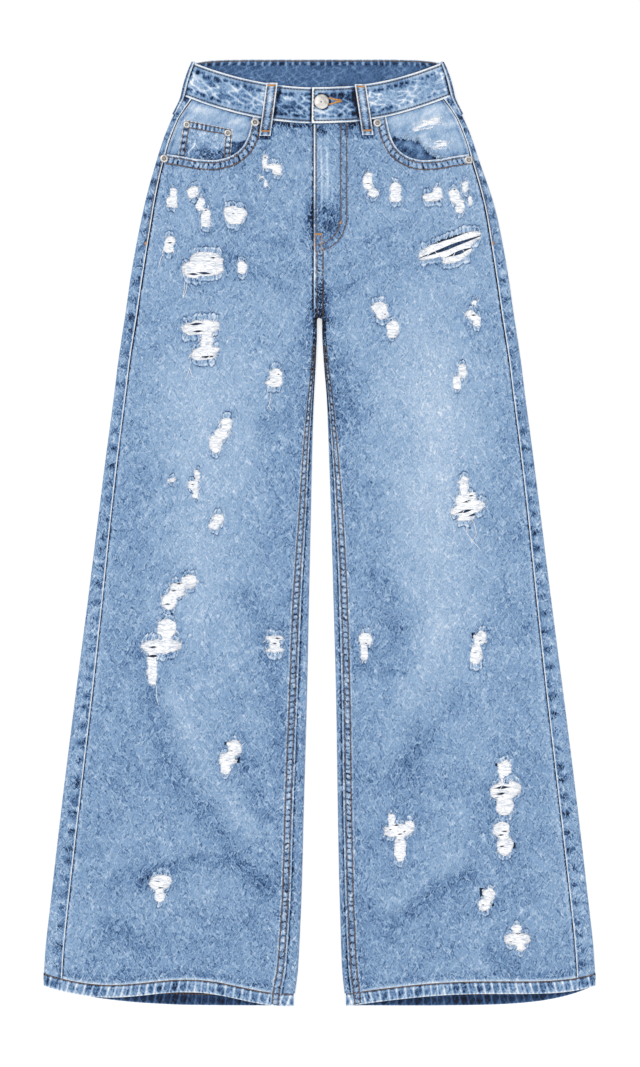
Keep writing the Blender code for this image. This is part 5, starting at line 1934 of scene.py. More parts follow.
@dataclass
class Waistband:
    """The waistband: one strip from its under end round the back to its over end."""

    step: float = 1.3
    levels: int = 30
    under_end: float = 17.0
    over_end: float = Lie.FLY_X - 2.2
    lap_start: float = 36.0
    lap_run: float = 17.0
    block: float = 8.0
    inner_pitch: float = 9.2
    line_parts: tuple[float, float] = (0.072, 0.928)
    button: Point = (2.2, 480.6)
    hole_y: float = 481.4
    TALL = Lie.WAIST_TOP - Lie.WAIST_BOTTOM

    def surface(self, x: Table, front: Table | bool, part: Table | float, lap: Table | float,
                out: Table | float = 0.0) -> Table:
        """Points of the band's outer face.

        Args:
            x: Places across, before the band's taper.
            front: Whether each is on the front.
            part: Place up the band, 0 to 1.
            lap: 1 on the end that lies on top, else 0.
            out: How far to move them out.

        Returns:
            Points.
        """
        level = Lie.WAIST_BOTTOM + (Lie.WAIST_TOP - Lie.WAIST_BOTTOM) * part
        taper = LIE.read("half_width", level) / Lie.WAIST_HALF
        low = np.where(front, LIE.waist(x), LIE.waist(x, False, False))
        high = np.where(front, LIE.waist(x, True, True), LIE.waist(x, False, True))
        low_z, high_z = LIE.read("back_z", level), LIE.read("front_z", level)
        middle = (low_z + high_z) / 2
        rise = (high_z - middle) * LIE.rounded(Lie.WAIST_HALF - np.abs(x)) + out
        z = (middle + np.where(front, rise, -rise)
             + lap * (Lie.BAND + Lie.GAP) * smooth((self.lap_start - x) / self.lap_run))
        side_out = (1 - LIE.rounded(Lie.WAIST_HALF - np.abs(x))) * out * np.sign(x)
        return np.stack(np.broadcast_arrays(x * taper + side_out, low + (high - low) * part, z), axis=-1)

    def around(self) -> tuple[Table, Table, Table]:
        """Places along the strip: x, whether on the front, and whether lapped on top."""
        half, arc = Lie.WAIST_HALF, Lie.EDGE * (1 - np.cos(np.radians(np.arange(0, 91, 15))))
        flat = half - Lie.EDGE
        under = np.arange(self.under_end, -flat, -self.step)
        under = np.concatenate([under, -(half - arc[::-1])])
        middle = np.arange(-flat + self.step, flat, self.step)
        back = np.concatenate([-(half - arc)[1:], middle, half - arc[::-1]])
        over = np.concatenate([(half - arc)[1:], np.arange(flat - self.step, self.over_end, -self.step),
                               [self.over_end + 0.6, self.over_end]])
        x = np.concatenate([under, back, over])
        front = np.concatenate([np.ones(len(under)), np.zeros(len(back)), np.ones(len(over))]) > 0
        lap = np.concatenate([np.zeros(len(under) + len(back)), np.ones(len(over))])
        return x, front, lap

    def make(self) -> Cloth:
        """Makes the band."""
        x, front, lap = self.around()
        run = np.concatenate([[0.0], np.cumsum(np.abs(np.diff(x)))])
        rows, tones = [], []
        parts = np.concatenate([[0, 0.012, 0.03], np.linspace(0.055, 0.945, self.levels), [0.97, 0.988, 1]])
        folds = from_lines(run, self.inner_pitch)
        for part in parts:
            off, level = min(part, 1 - part), part * self.TALL
            line = float(bell(off, 0.072, 0.022))
            block = smooth(from_lines(run + level * 0.12, self.block), 0.9, 0.9)
            block = block * bell(off, 0.2, 0.075) * (1.0 + 0.2 * WANDER.at(run, level, 11))
            sway = 3.4 * WANDER.at(run, level * 1.6, 8)
            vein = np.minimum(from_lines(0.46 * run - level + sway, 8.0),
                              from_lines(0.62 * run + level + 1.3 * sway, 9.5))
            vein = vein + 0.9 * (1 - smooth(0.75 + 1.3 * NOISE.at(run, level, 9)))
            fine = from_veins(run - 0.6 * level, level, 6.0)
            middle = float(smooth(off, 0.12, 0.1))
            puff = (0.55 * float(smooth(off / 0.05)) - 0.55 * line - 0.25 * block
                    + 0.3 * bell(vein / 1.6) * middle + 0.45 * NOISE.at(run, level, 9))
            inside_end = smooth((x - self.over_end) / 3.0) * lap + (1 - lap)
            rows.append(self.surface(x, front, part, lap, puff - 0.35 + 0.4 * (inside_end - 1)))
            tone = (0.59 - 0.27 * block + 0.08 * bell(off, 0.12, 0.03)
                    + 0.6 * bell(off, 0.012, 0.024) - 0.16 * line
                    + (0.50 * bell(vein / 1.2) - 0.24) * middle + 0.12 * bell(fine / 0.7) * middle
                    + 0.2 * NOISE.at(run * 0.6, level * 1.5, 12)
                    - 0.13 * (bell(x, -34, 26) + bell(x, 40, 24)))
            end = (x - self.over_end) * lap + (1 - lap) * 99
            tone = (tone + 0.8 * bell(end, 0.9, 1.2) - 0.14 * bell(end, 3.6, 1.0)
                    # painted shade on the under part beside the over end's edge
                    - 0.6 * bell(x - self.over_end, -0.6, 1.8) * (1 - lap))
            near_button = np.hypot((x - 3) / 12, (abs(part - 0.5) - 0.34) / 0.2)
            tone = tone + 0.16 * bell(near_button) * lap + self.beside_loops(x, part)
            side = Lie.WAIST_HALF - np.abs(x)
            # the first term is painted shade at the band's side folds
            tone = (tone - 0.85 * bell(side / 2.4)
                    + 0.4 * bell(side, 5.2, 1.2) * float(bell(part, 0.6, 0.25)))
            peak = folds / (0.8 + 6 * (1 - part))
            inner = (0.46 + 0.38 * bell(peak) * float(smooth(part, 0.80, 0.06))
                     + 0.22 * bell(vein / 0.9) + 0.07 * NOISE.at(run * 0.6, level, 9)
                     + 0.9 * bell(part, 1, 0.022))
            between = smooth(folds, 1.0, 0.8)
            inner = inner - 0.26 * between * float(bell(part, 0.865, 0.05))
            # painted shadow round the button
            off_button = np.hypot(rows[-1][:, 0] - self.button[0], rows[-1][:, 1] - self.button[1]) - 8.6
            tone = tone - 0.55 * bell(np.maximum(0, off_button) / 1.3) * lap
            tones.append(np.where(front, tone, inner))
        last = np.flatnonzero(lap > 0)
        return Cloth("waistband", np.array(rows), np.array(tones), Lie.BAND,
                     probe=(int(last[10]), int(last[-4])), crackle=-0.6).make()

    def beside_loops(self, x: Table, part: float) -> Table:
        """Painted shadow: how much darker the band is beside the front's belt loops."""
        level = Lie.WAIST_BOTTOM - 18 + self.TALL * part
        total = np.zeros(len(x))
        for (top_x, top_y), (low_x, low_y) in LOOPS.values():
            middle = low_x + (top_x - low_x) * (level - low_y) / (top_y - low_y)
            total = total - 0.40 * bell(np.maximum(0, np.abs(x - middle) - LOOP_REACH) / 1.7)
        return total

    def sew(self, thread: Thread, inner: Thread) -> None:
        """Sews the band's edges and its over end, and the line inside its back."""
        flat = Lie.WAIST_HALF - 1.5
        for part in self.line_parts:
            runs = ((np.linspace(-10, -flat, 110), True, 0.0), (np.linspace(-flat, flat, 220), False, 0.0),
                    (np.linspace(flat, self.over_end + 2.2, 130), True, 1.0))
            for x, front, lap in runs:
                thread.line(self.surface(x, front, part, lap, 0.15), UP if front else DOWN, radius=0.7)
        part = np.linspace(0.08, 0.92, 20)
        x = np.full(20, self.over_end + 2.4)
        thread.line(self.surface(x, True, part, 1.0, 0.15), UP)
        x = np.linspace(-flat + 6, flat - 6, 220)
        inner.line(self.surface(x, False, 0.945, 0.0, -Lie.BAND - 0.35), UP, radius=0.85)

    def buttonhole(self, thread: Thread) -> None:
        """Sews the keyhole that the button's shank goes through."""
        eye, tip = np.array([12.2, 0.0]), np.array([25.0, 0.0])
        middle = float(LIE.waist(np.array(15.0), True, False))
        high = float(LIE.waist(np.array(15.0), True, True))
        part = (self.hole_y - middle) / (high - middle)
        for way in (-1, 1):
            path = along_path(((eye[0] - 1.4, way * 3.4), (eye[0] + 1.0, way * 3.1), (eye[0] + 6, way * 1.5),
                               (tip[0], way * 0.45)), 0.55)
            level = part + path[:, 1] / (high - middle)
            places = self.surface(path[:, 0], True, level, 1.0, 0.45)
            ups = np.tile(UP, (len(places), 1))
            across = np.cross(ups, np.gradient(places, axis=0))
            thread.add(places, across, ups, 1.9, 0.36)
            thread.line(places + [0, way * 0.9, 0.2], ups, pitch=3, length=3.2, radius=0.26)


@dataclass
class BeltLoop:
    """A belt loop: a doubled strip with turned edges, two lines of stitches and bar tacks."""

    name: str
    top: Point = (0.0, 0.0)
    bottom: Point = (0.0, 0.0)
    width: float = 12.5
    wall: float = 1.8
    seat: float = 0.75
    line_at: float = 4.1
    swell: tuple = ((0.0, 0.15, 0.35, 0.65, 0.9, 1.0), (0.0, 0.1, 0.6, 1.0, 0.6, 0.2))

    def profile(self, across: Table) -> tuple[Table, Table]:
        """Height and tone across the strip, from -1 to 1."""
        off = np.abs(across) * self.width / 2
        rim = self.width / 2 - off
        height = -0.5 * bell(rim / 0.7) - 0.3 * bell((off - self.line_at) / 0.7) + 0.25 * bell(off / 1.8)
        tone = 0.50 + 0.20 * bell(off / 1.9) - 0.16 * bell(off - self.line_at, -1.3, 0.8)
        return height, tone - 0.10 * bell((off - self.line_at) / 0.8) + 0.55 * bell(rim, 0.3, 0.9)

    def place(self, part: Table, across: Table, out: Table | float = 0.0) -> Table:
        """Points of a front loop's outer face, from its lower end up."""
        (tx, ty), (bx, by) = self.top, self.bottom
        x, y = bx + (tx - bx) * part, by + (ty - by) * part
        lift = self.seat + self.wall + curve(*self.swell, part)
        return LIE.on_front(x + across * self.width / 2, y, lift + out)

    def make(self) -> Cloth:
        """Makes a front loop."""
        parts = np.concatenate([[0, 0.006, 0.018], np.linspace(0.035, 0.965, 50), [0.982, 0.994, 1]])
        part, across = np.meshgrid(parts, np.linspace(-1, 1, 17), indexing="ij")
        height, tone = self.profile(across)
        length = math.dist(self.top, self.bottom)
        end = np.minimum(part, 1 - part) * length
        height = height - 0.7 * bell(end / 0.9) - 0.35 * bell(end, 4.2, 1.4)
        tone = (tone + 0.5 * bell(end / 1.1) - 0.12 * bell(end, 7, 2)
                + 0.14 * NOISE.at(part * 60, across * 3, 5) + 0.14 * bell(part, 0.78, 0.3)
                - 0.13 * bell(part, 0.25, 0.2))
        return Cloth(self.name, self.place(part, across, height), tone, self.wall, FINISH.across).make()

    def sew(self, brown: Thread, orange: Thread) -> None:
        """Sews the loop's two lines and its bar tacks."""
        part = np.linspace(0.09, 0.93, 24)
        for way in (-1, 1):
            across = np.full(24, way * self.line_at * 2 / self.width)
            brown.line(self.place(part, across, -0.05), UP)
        for part in (0.085, 0.95):
            ends = [self.place(np.array(part), np.array(a), 0.3) for a in (-0.74, 0.74)]
            orange.tack(ends[0], ends[1], UP, 2.4)


@dataclass
class SideLoop(BeltLoop):
    """The loop that lies round the waistband's side fold."""

    side: Side = Side.RIGHT
    rises: tuple = ((468, 480, 497, 515, 526), (0.0, 0.4, 1.6, 1.0, 0.0))

    def make(self) -> Cloth:
        """Makes the loop."""
        low_z, high_z = float(LIE.read("back_z", 500)), float(LIE.read("front_z", 500))
        middle, half = (low_z + high_z) / 2, (high_z - low_z) / 2
        y, turn = np.meshgrid(np.linspace(468, 526, 46), np.radians(np.linspace(-90, 60, 26)), indexing="ij")
        across = (np.degrees(turn) + 15) / 75
        height, tone = self.profile(across)
        swell = curve(*self.rises, y)
        reach = 0.4 + self.wall + np.where(np.degrees(turn) > -60, swell, 0.0) + height
        c, s = np.cos(turn), np.sin(turn)
        lean = np.hypot(c / Lie.EDGE, s / half)
        x = LIE.read("half_width", y) - Lie.EDGE + Lie.EDGE * c + reach * c / Lie.EDGE / lean
        points = np.stack([self.side.value * x, y, middle + half * s + reach * s / half / lean], axis=-1)
        tone = tone - 0.16 + 0.1 * NOISE.at(y, across * 3, 5)
        return Cloth(self.name, points, tone, self.wall, FINISH.across, probe=(18, 26)).make()


@dataclass
class BackLoop(BeltLoop):
    """The loop at the centre back, on the underside."""

    low: float = 462.0
    high: float = 529.5

    def make(self) -> Cloth:
        """Makes the loop."""
        y, across = np.meshgrid(np.linspace(self.low, self.high, 48), np.linspace(-1, 1, 17), indexing="ij")
        height, tone = self.profile(across)
        z = float(LIE.read("back_z", 500)) - 0.4 - self.wall - height * 0.5
        points = np.stack([across * self.width / 2, y, z], axis=-1)
        return Cloth(self.name, points, tone, self.wall, FINISH.across, faces_up=False).make()


FACING_TEARS = (
    Tear(((122, 456, 20, 4),), 0.28, ((127, 454, 4), (132, 452, 4))),
    Tear(((128, 434, 6, 5), (140, 434, 8, 4)), 0, ((137, 436, 3), (141, 431, 4))),
)


@dataclass
class Facing:
    """The cloth that shows in a pocket mouth; the left one is torn too."""

    side: Side
    depth: float = 3.3
    bottom_y: float = 400.0
    inner: tuple[float, float] = (80.0, 62.0)
    rag: tuple[Point, ...] = ((88, 442), (112, 438), (131, 420), (152, 414))

    def beyond(self, x: Table, y: Table) -> Table:
        """How far a place lies above the torn layer's ragged edge."""
        rag = np.array(self.rag)
        line = np.interp(np.abs(x), rag[:, 0], rag[:, 1])
        return y - line + 1.6 * WANDER.at(x, y, 3)

    def make(self) -> Cloth:
        """Makes the facing."""
        v, u = np.meshgrid(np.linspace(0, 1, 46), np.linspace(0, 1, 52), indexing="ij")
        level = self.bottom_y + (Lie.WAIST_BOTTOM - Lie.SEAM_GAP - self.bottom_y) * v
        outer = np.abs(LIE.side_seam(self.side, level)) - 0.8
        x = outer + (self.inner[0] + (self.inner[1] - self.inner[0]) * v - outer) * u
        y = self.bottom_y + (LIE.waist_seam(x) - self.bottom_y) * v
        x = self.side.value * x
        mouth = scoop_path(self.side, 2.5)
        off = np.hypot(x[..., None] - mouth[:, 0], y[..., None] - mouth[:, 1]).min(axis=-1)
        under_band = LIE.waist(x) - y
        # painted shade near the pocket mouth's edge and just under the waistband
        tone = (0.60 + 0.10 * NOISE.at(x, y * 1.6, 12)
                + 0.12 * NOISE.at(x + 0.9 * y, (y - 0.9 * x) * 3, 12) - 0.18 * bell(off / 7)
                + 0.10 * bell(under_band, 8, 7) - 0.2 * bell(under_band / 3))
        side_off = np.abs(LIE.side_seam(self.side, y)) - np.abs(x)
        tone = tone + 0.4 * bell(side_off, 1.4, 1.1) - 0.2 * bell(side_off, 4, 1.4)
        lift = 0.4 * NOISE.at(x, y, 14)
        if self.side is Side.RIGHT:
            # painted shadow of the pocket mouth over the lower part
            below = np.interp(-x, (87, 117, 130, 160), (438, 433, 427, 422)) - y + 1.2 * WANDER.at(x, 4.0, 6)
            tone = tone - 0.29 * smooth(below / 1.5) - 0.22 * bell(below, 1, 1.3)
        else:
            above = self.beyond(x, y)
            # the lower layer that shows through the tear is darker, with painted shade just under the rag's
            # edge
            tone = tone + np.where(above < 0, -0.21 - 0.17 * bell(above / 3), 0.12 * bell(above / 4))
            lift = lift + 0.8 * smooth(above / 2)
        points = LIE.on_front(x, y, lift - self.depth)
        return Cloth(f"pocket_facing_{self.side.word}", points, tone, crackle=-0.6, slot="facing").make()

    def dress(self) -> list[Piece]:
        """Makes the bare weft and the frayed edge of the left facing."""
        damage = Damage(self.side, FACING_TEARS, lift=0.9 - self.depth, outline=0.5)
        pieces = damage.dress("facing_")
        random = np.random.default_rng(77)
        ends = []
        for x in np.arange(91, 152, 0.55):
            y = float(np.interp(x, *np.array(self.rag).T)) + random.uniform(-1, 2.4)
            ends.extend(damage.warp_ends(np.array([x]), np.array([y]), np.array([-1]), 0.0, 1.8, 5.0))
        return pieces + [strands("facing_rag", ends, 0.32, FINISH.fray, taper=0.35)]


@dataclass
class CoinPocket:
    """The small pocket in the right pocket mouth."""

    corners: tuple[Point, ...] = ((-160, 405), (-100, 405), (-96.7, 450.6), (-150.1, 461.6))
    depth: float = 1.7
    side_lines: tuple[float, float] = (1.4, 6.6)
    top_lines: tuple[float, float] = (1.3, 7.2)
    wide: float = 56.0
    tall: float = 50.0

    def place(self, u: Table, v: Table) -> tuple[Table, Table]:
        """Places from u across (outer to inner side) and v up."""
        (ax, ay), (bx, by), (cx, cy), (dx, dy) = self.corners
        x = (ax + (bx - ax) * u) * (1 - v) + (dx + (cx - dx) * u) * v
        y = (ay + (by - ay) * u) * (1 - v) + (dy + (cy - dy) * u) * v
        return x, y

    def make(self) -> Cloth:
        """Makes the pocket."""
        v, u = np.meshgrid(np.linspace(0, 1, 58), np.linspace(0, 1, 62), indexing="ij")
        x, y = self.place(u, v)
        top, left, right = (1 - v) * self.tall, u * self.wide, (1 - u) * self.wide
        near = np.minimum(left, right)
        top_band = smooth((self.top_lines[1] - top) / 1.0)
        side_band = smooth((self.side_lines[1] - near) / 1.0) * (1 - top_band)
        gather = puckers(left, 3.0, 4.6) * top_band + puckers(top, 9.0, 6.4) * side_band
        grooves = (sum(bell((top - t) / 0.7) for t in self.top_lines)
                   + sum(bell((near - t) / 0.7) for t in self.side_lines) * (1 - top_band))
        tone = (0.50 + 0.36 * gather - 0.16 * grooves + 0.5 * bell(top / 0.9) + 0.44 * bell(near / 0.8)
                + 0.12 * NOISE.at(x * 0.6, y * 1.6, 7) + 0.10 * bell(top, 10, 2)
                # the lower part is darker: painted shadow of the pocket mouth
                - 0.21 * smooth((top - 24 + 2 * WANDER.at(x, 9.0, 7)) / 4))
        scratch = np.abs((x + 141) - 0.6 * (y - 430) + 2.0 * WANDER.at(y, 5.0, 6))
        tone = tone + 0.5 * bell(scratch / 0.9) * bell(y, 431, 9)
        out = 0.35 * gather - 0.3 * grooves - 0.4 * bell(top / 0.8) - 0.4 * bell(near / 0.8)
        return Cloth("coin_pocket", LIE.on_front(x, y, out - self.depth), tone).make()

    def sew(self, thread: Thread) -> None:
        """Sews the pocket's double lines."""
        runs = [(np.linspace(0.03, 0.97, 30), np.full(30, 1 - t / self.tall)) for t in self.top_lines]
        for t in self.side_lines:
            for u in (t / self.wide, 1 - t / self.wide):
                runs.append((np.full(24, u), np.linspace(0.02, 0.95 if t < 3 else 0.85, 24)))
        for u, v in runs:
            x, y = self.place(u, v)
            thread.line_on_front(x, y, 0.1 - self.depth, pitch=3.0, radius=0.66)


@dataclass
class BackPocket:
    """A back pocket on the underside, with plain double stitching."""

    side: Side
    middle: Point = (97.0, 392.0)
    top: tuple[float, float] = (2.0, -4.0)
    half_top: float = 64.0
    half_bottom: float = 60.0
    bottom: tuple[float, float, float] = (-104.0, -132.0, -108.0)
    wall: float = 1.1
    half: float = 62.0
    tall: float = 118.0

    def place(self, u: Table, v: Table) -> tuple[Table, Table]:
        """Places from u across, -1 to 1, and v down, 0 to 1."""
        x = u * (self.half_top + (self.half_bottom - self.half_top) * v)
        top = np.interp(u, (-1, 1), self.top)
        low = np.interp(u, (-1, 0, 1), self.bottom)
        return self.side.value * (self.middle[0] + x), self.middle[1] + top + (low - top) * v

    def make(self) -> Cloth:
        """Makes the pocket."""
        v, u = np.meshgrid(np.linspace(0, 1, 54), np.linspace(-1, 1, 55), indexing="ij")
        x, y = self.place(u, v)
        near = np.minimum((1 - np.abs(u)) * self.half, (1 - v) * self.tall)
        top = v * self.tall
        gather = (puckers(top + u * 40, near * 0.3, 6.5) * smooth((8 - near) / 1.5) * smooth(near, 1, 1)
                  + puckers(u * 64, top * 0.3, 7) * smooth((14 - top) / 2) * smooth(top, 1, 1))
        tone = (LIE.tone(x, y) * 0.3 + 0.37 + 0.16 * gather + 0.4 * bell(np.minimum(near, top) / 1.0)
                + 0.08 * NOISE.at(x, y, 12))
        z = 0.12 + 0.15 * smooth(1 - near / 3) + 0.1 * gather
        points = np.stack([x, y, z], axis=-1)
        return Cloth(f"back_pocket_{self.side.word}", points, tone, self.wall, faces_up=False).make()

    def sew(self, thread: Thread) -> None:
        """Sews the pocket's double line round its sides and its mouth."""
        for inset in (1.8, 7.6):
            a, b = 1 - inset / self.half, 1 - inset / self.tall
            self.sew_run(thread, np.full(40, -a), np.linspace(0.02, b, 40))
            self.sew_run(thread, np.linspace(-a, a, 50), np.full(50, b))
            self.sew_run(thread, np.full(40, a), np.linspace(b, 0.02, 40))
        for depth in (2.0, 13.0):
            self.sew_run(thread, np.linspace(-0.97, 0.97, 50), np.full(50, depth / self.tall))

    def sew_run(self, thread: Thread, u: Table, v: Table) -> None:
        """Sews one line on the pocket's face."""
        x, y = self.place(u, v)
        places = np.stack([x, y, np.full(len(x), 0.2)], axis=1)
        thread.line(places, DOWN, radius=0.34)


@dataclass
class Hardware:
    """The turned metal: the shank button and the copper-type rivets."""

    button: tuple = ((6.6, 0.0), (7.6, 0.25), (8.35, 0.75), (8.5, 1.2), (8.3, 1.65), (7.7, 2.0), (7.0, 2.2),
                     (6.6, 2.16), (6.2, 2.24), (4.8, 2.5), (3.2, 2.7), (1.9, 2.78), (1.3, 2.72), (0.95, 2.5),
                     (0.7, 2.4), (0.3, 2.42), (0.02, 2.43))
    rivet: tuple = ((4.1, 0.0), (4.5, 0.25), (4.5, 0.6), (3.9, 0.95), (3.2, 1.12), (2.6, 1.1), (2.2, 0.6),
                    (1.8, 0.6), (1.6, 1.2), (1.1, 1.8), (0.7, 1.95), (0.4, 1.6), (0.02, 1.5))

    def turned(self, name: str, profile: Sequence[Point], centre: Sequence[float], scale: float,
               dark: Sequence[Point], sides: int) -> Piece:
        """Turns a piece on a vertical axis.

        Args:
            name: Its name.
            profile: (radius, height) from its base up.
            centre: Its base's middle, in millimetres.
            scale: What the profile is scaled by.
            dark: (least radius, greatest radius) of each tarnished ring.
            sides: Sides round it.

        Returns:
            The piece.
        """
        deselect()
        radius, height = profile[0]
        cx, cy, cz = centre
        bpy.ops.mesh.primitive_circle_add(vertices=sides, radius=radius * scale * MM, fill_type="NGON",
                                          location=(cx * MM, cy * MM, (cz + height * scale) * MM))
        obj = bpy.context.active_object
        bpy.ops.object.transform_apply(location=True, rotation=True, scale=True)
        with edit_mode():
            bpy.ops.mesh.select_all(action="SELECT")
            for (r0, z0), (r1, z1) in zip(profile, profile[1:]):
                rise = (z1 - z0) * scale * MM
                bpy.ops.mesh.extrude_region_move(TRANSFORM_OT_translate={"value": (0, 0, rise)})
                middle = (cx * MM, cy * MM, (cz + z1 * scale) * MM)
                bpy.ops.transform.resize(value=(r1 / r0, r1 / r0, 1), center_override=middle)
        recalculate(obj)
        bpy.ops.object.shade_smooth_by_angle(angle=math.radians(45))
        finish_mesh(obj, name, FINISH.metal, FINISH.tarnish)
        for face in obj.data.polygons:
            reach = math.hypot(face.center.x / MM - cx, face.center.y / MM - cy) / scale
            face.material_index = int(any(low < reach < high for low, high in dark))
        return obj

    def make(self) -> None:
        """Makes the button and every rivet where the frame has them."""
        for node in sorted(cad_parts):
            if node == "button":
                profile, dark, sides = self.button, ((0.0, 0.8), (8.0, 9.0)), 56
            elif node.startswith("rivet"):
                profile, dark, sides = self.rivet, ((0.0, 0.5), (1.75, 2.35)), 32
            else:
                continue
            low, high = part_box(node)
            centre = ((low.x + high.x) / 2 / MM, (low.y + high.y) / 2 / MM, low.z / MM)
            scale = (high.x - low.x) / MM / 2 / max(radius for radius, _ in profile)
            settle(self.turned(f"{node}_turned", profile, centre, scale, dark, sides), "metal", node)


class Studio:
    """A pale floor, soft lights and a camera straight above."""

    HEIGHT = 3.2
    FRAME_TALL = 1.195

    def make(self) -> None:
        """Sets up the studio."""
        deselect()
        bpy.ops.mesh.primitive_plane_add(size=12.0, location=(0, 0, -0.0004))
        floor = bpy.context.active_object
        bpy.ops.object.transform_apply(location=True, rotation=True, scale=True)
        finish_mesh(floor, "floor", self.floor_finish())
        self.light("key", (-1.8, 1.6, 3.2), 1.6, 53.0)
        self.light("fill", (1.7, -1.7, 3.2), 2.4, 45.0)
        self.light("over", (0.0, -0.2, 4.2), 3.0, 38.0)
        world = bpy.data.worlds.new("studio")
        world.use_nodes = True
        background = world.node_tree.nodes["Background"]
        background.inputs["Color"].default_value = (1, 1, 1, 1)
        background.inputs["Strength"].default_value = 0.52
        bpy.context.scene.world = world
        bpy.context.scene.view_settings.view_transform = "Standard"
        camera = bpy.data.objects.new("camera", bpy.data.cameras.new("camera"))
        camera.data.sensor_fit = "VERTICAL"
        camera.data.angle = 2 * math.atan(self.FRAME_TALL / 2 / self.HEIGHT)
        camera.location = (0.0005, -0.001, self.HEIGHT)
        bpy.context.scene.collection.objects.link(camera)
        bpy.context.scene.camera = camera

    def floor_finish(self) -> Material:
        """A pale matt floor with a faint drift of tone."""
        n = Nodes("pale_floor")
        stops = ((0.3, (0.78, 0.782, 0.785)), (0.7, (0.785, 0.785, 0.785)))
        n.shade({
            "Base Color": n.ramp(n.noise(n.turned(), 3.0), stops),
            "Roughness": 0.9,
            "Emission Color": (1.0, 1.0, 1.0, 1.0),
            "Emission Strength": 0.5,
        })
        return n.material

    def light(self, name: str, place: tuple[float, float, float], size: float, power: float) -> None:
        """Adds a soft lamp that looks at the garment's middle."""
        deselect()
        bpy.ops.object.light_add(type="AREA", location=place)
        lamp = bpy.context.active_object
        lamp.name = name
        lamp.data.size = size
        lamp.data.energy = power
        lamp.rotation_euler = look_down(place)


def look_down(place: Sequence[float]) -> tuple[float, float, float]:
    """Turns a lamp at a place so that it looks at the origin."""
    x, y, z = place
    return math.atan2(math.hypot(x, y), z), 0.0, math.atan2(y, x) + math.pi / 2


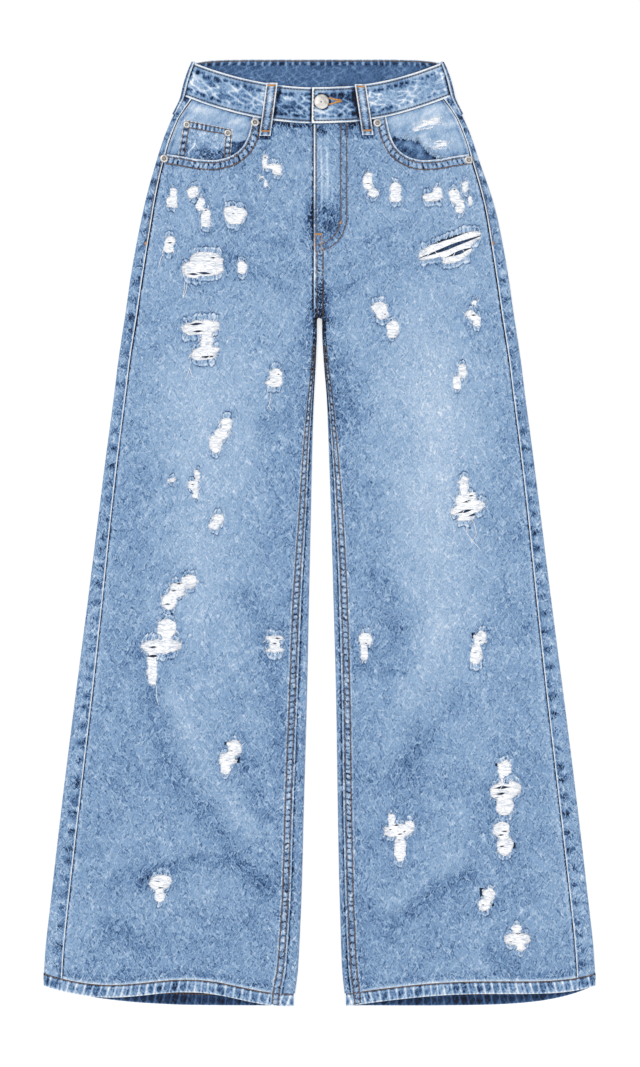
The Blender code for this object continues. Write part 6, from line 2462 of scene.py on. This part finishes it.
class Jeans:
    """The whole garment."""

    def make(self) -> None:
        for side in Side:
            self.make_side(side)
        self.make_middle()
        Hardware().make()

    def make_side(self, side: Side) -> None:
        """Makes a side's panels, seams, hem, pockets and loops."""
        word = side.word
        front, back = FrontPanel(side).make(), BackPanel(side).make()
        yoke, hem = BackPanel(side).make_yoke(), Hem(side).make()
        brown, orange = Thread(f"stitches_{word}", FINISH.tan, 3), Thread(f"tacks_{word}", FINISH.orange, 4)
        dark = Thread(f"dark_stitches_{word}", FINISH.dark, 7)
        hem_thread = Thread(f"hem_stitches_{word}", FINISH.tan, 6)
        Hem(side).sew(hem_thread)
        trims = self.front_bands(side, brown, dark) + Damage(side).dress()
        facing = Facing(side).make()
        frays = Facing(side).dress() if side is Side.LEFT else []
        pocket = BackPocket(side).make()
        pocket_thread = Thread(f"back_pocket_stitches_{word}", FINISH.tan, 8)
        BackPocket(side).sew(pocket_thread)
        belt_loop = BeltLoop(f"belt_loop_front_{word}", *LOOPS[side])
        loop = belt_loop.make()
        loop_thread = Thread(f"loop_stitches_{word}", FINISH.tan, 9)
        loop_tacks = Thread(f"loop_tacks_{word}", FINISH.orange, 10)
        belt_loop.sew(loop_thread, loop_tacks)
        side_loop = SideLoop(f"belt_loop_side_{word}", side=side).make()
        self.sew_side(side, brown, orange)
        trims += [brown.make(), dark.make()]
        if side is Side.LEFT:
            trims += self.fly(orange)
        front.declare(f"back_{word}", *trims, orange.make())
        back.declare("floor")
        yoke.declare("floor")
        hem.declare("floor", hem_thread.make())
        facing.declare(f"yoke_{word}", *frays)
        pocket.declare("floor", pocket_thread.make())
        loop.declare("waistband", loop_thread.make(), loop_tacks.make())
        side_loop.declare("waistband")

    def front_bands(self, side: Side, brown: Thread, dark: Thread) -> list[Piece]:
        """Makes and sews a front's felled inseam and its pocket edge."""
        word, sign = side.word, side.value
        level = np.linspace(Lie.HEM_CORNER + 0.4, Lie.CROTCH - 0.5, 640)
        path = np.stack([LIE.inseam(side, level), level], 1)
        narrow = np.interp(level, (-80, 40, 100, 150, 195, 240), (1.0, 0.82, 0.66, 0.5, 0.34, 0.3))
        inseam = SewnBand(f"felled_inseam_{word}", path, 12.6 * -sign, lines=(2.9, 9.0), pitch=6.4, dark=0.08,
                          depth=0.3, far_rim=0.3, rim=0.4, scale=narrow)
        mouth = SewnBand(f"pocket_edge_{word}", scoop_path(side, 0.9)[2:], 12.4 * sign, lines=(3.0, 10.4),
                         pitch=5.4, dark=0.14, depth=0.3)
        pieces = [inseam.make(), mouth.make()]
        inseam.sew(brown, highest=120.0)
        inseam.sew(dark, highest=210.0, lowest=120.0)
        mouth.sew(brown)
        return pieces

    def fly(self, orange: Thread) -> list[Piece]:
        """Makes and sews the fly and the centre seam below it."""
        fly = Fly()
        brown, dark = Thread("fly_stitches", FINISH.tan, 12), Thread("fork_stitches", FINISH.dark, 13)
        fly.sew(brown, orange)
        level = np.linspace(Lie.CROTCH + 0.3, fly.bottom + 1, 70)
        path = np.stack([np.full(70, Lie.FLY_X + Lie.HALF_SEAM), level], 1)
        seam = SewnBand("centre_seam", path, -12.6, lines=(3.6, 10.2), pitch=4.4, dark=0.06, depth=0.22)
        pieces = [fly.make(), seam.make()]
        seam.sew(brown, lowest=285.0)
        seam.sew(dark, highest=285.0)
        return pieces + [brown.make(), dark.make()]

    def sew_side(self, side: Side, brown: Thread, orange: Thread) -> None:
        """Sews the side seam from the pocket down to its bar tack."""
        level = np.linspace(422, 326, 60)
        x = LIE.side_seam(side, level) + side.value * 1.9
        brown.line_on_front(x, level, 0.1, radius=0.5)
        level = np.array([325.0, 321.5])
        ends = LIE.on_front(LIE.side_seam(side, level) + side.value * 2.2, level, 0.5)
        orange.tack(ends[0], ends[1], UP, 2.4)

    def make_middle(self) -> None:
        """Makes the waistband, the coin pocket, the fly shield and the back loop."""
        band, coin = Waistband(), CoinPocket()
        band_cloth = band.make()
        outer = Thread("waistband_stitches", FINISH.dark, 20)
        inner = Thread("waistband_inner_stitches", FINISH.tan, 21)
        hole = Thread("buttonhole", FINISH.orange, 22)
        band.sew(outer, inner)
        band.buttonhole(hole)
        coin_cloth = coin.make()
        coin_thread = Thread("coin_pocket_stitches", FINISH.tan, 23)
        coin.sew(coin_thread)
        shield, back_loop = self.fly_shield(), BackLoop("belt_loop_back").make()
        band_cloth.declare("yoke_right", outer.make(), inner.make(), hole.make())
        coin_cloth.declare("pocket_facing_right", coin_thread.make())
        shield.declare("back_left")
        back_loop.declare("floor")

    def fly_shield(self) -> Cloth:
        """Makes the strip of cloth behind the fly."""
        v, x = np.meshgrid(np.linspace(0, 1, 40), np.linspace(-24, 22, 20), indexing="ij")
        y = 300 + (LIE.waist_seam(x) - 300) * v
        tone = 0.3 + 0.1 * NOISE.at(x, y, 8)
        return Cloth("fly_shield", LIE.on_front(x, y, -2.4), tone, outer=FINISH.inside, slot="facing").make()


def main() -> None:
    """Builds the garment and the studio, and notes the sizes."""
    logging.basicConfig(level=logging.INFO, format="%(message)s")
    Jeans().make()
    Studio().make()


if __name__ == "__main__":
    main()
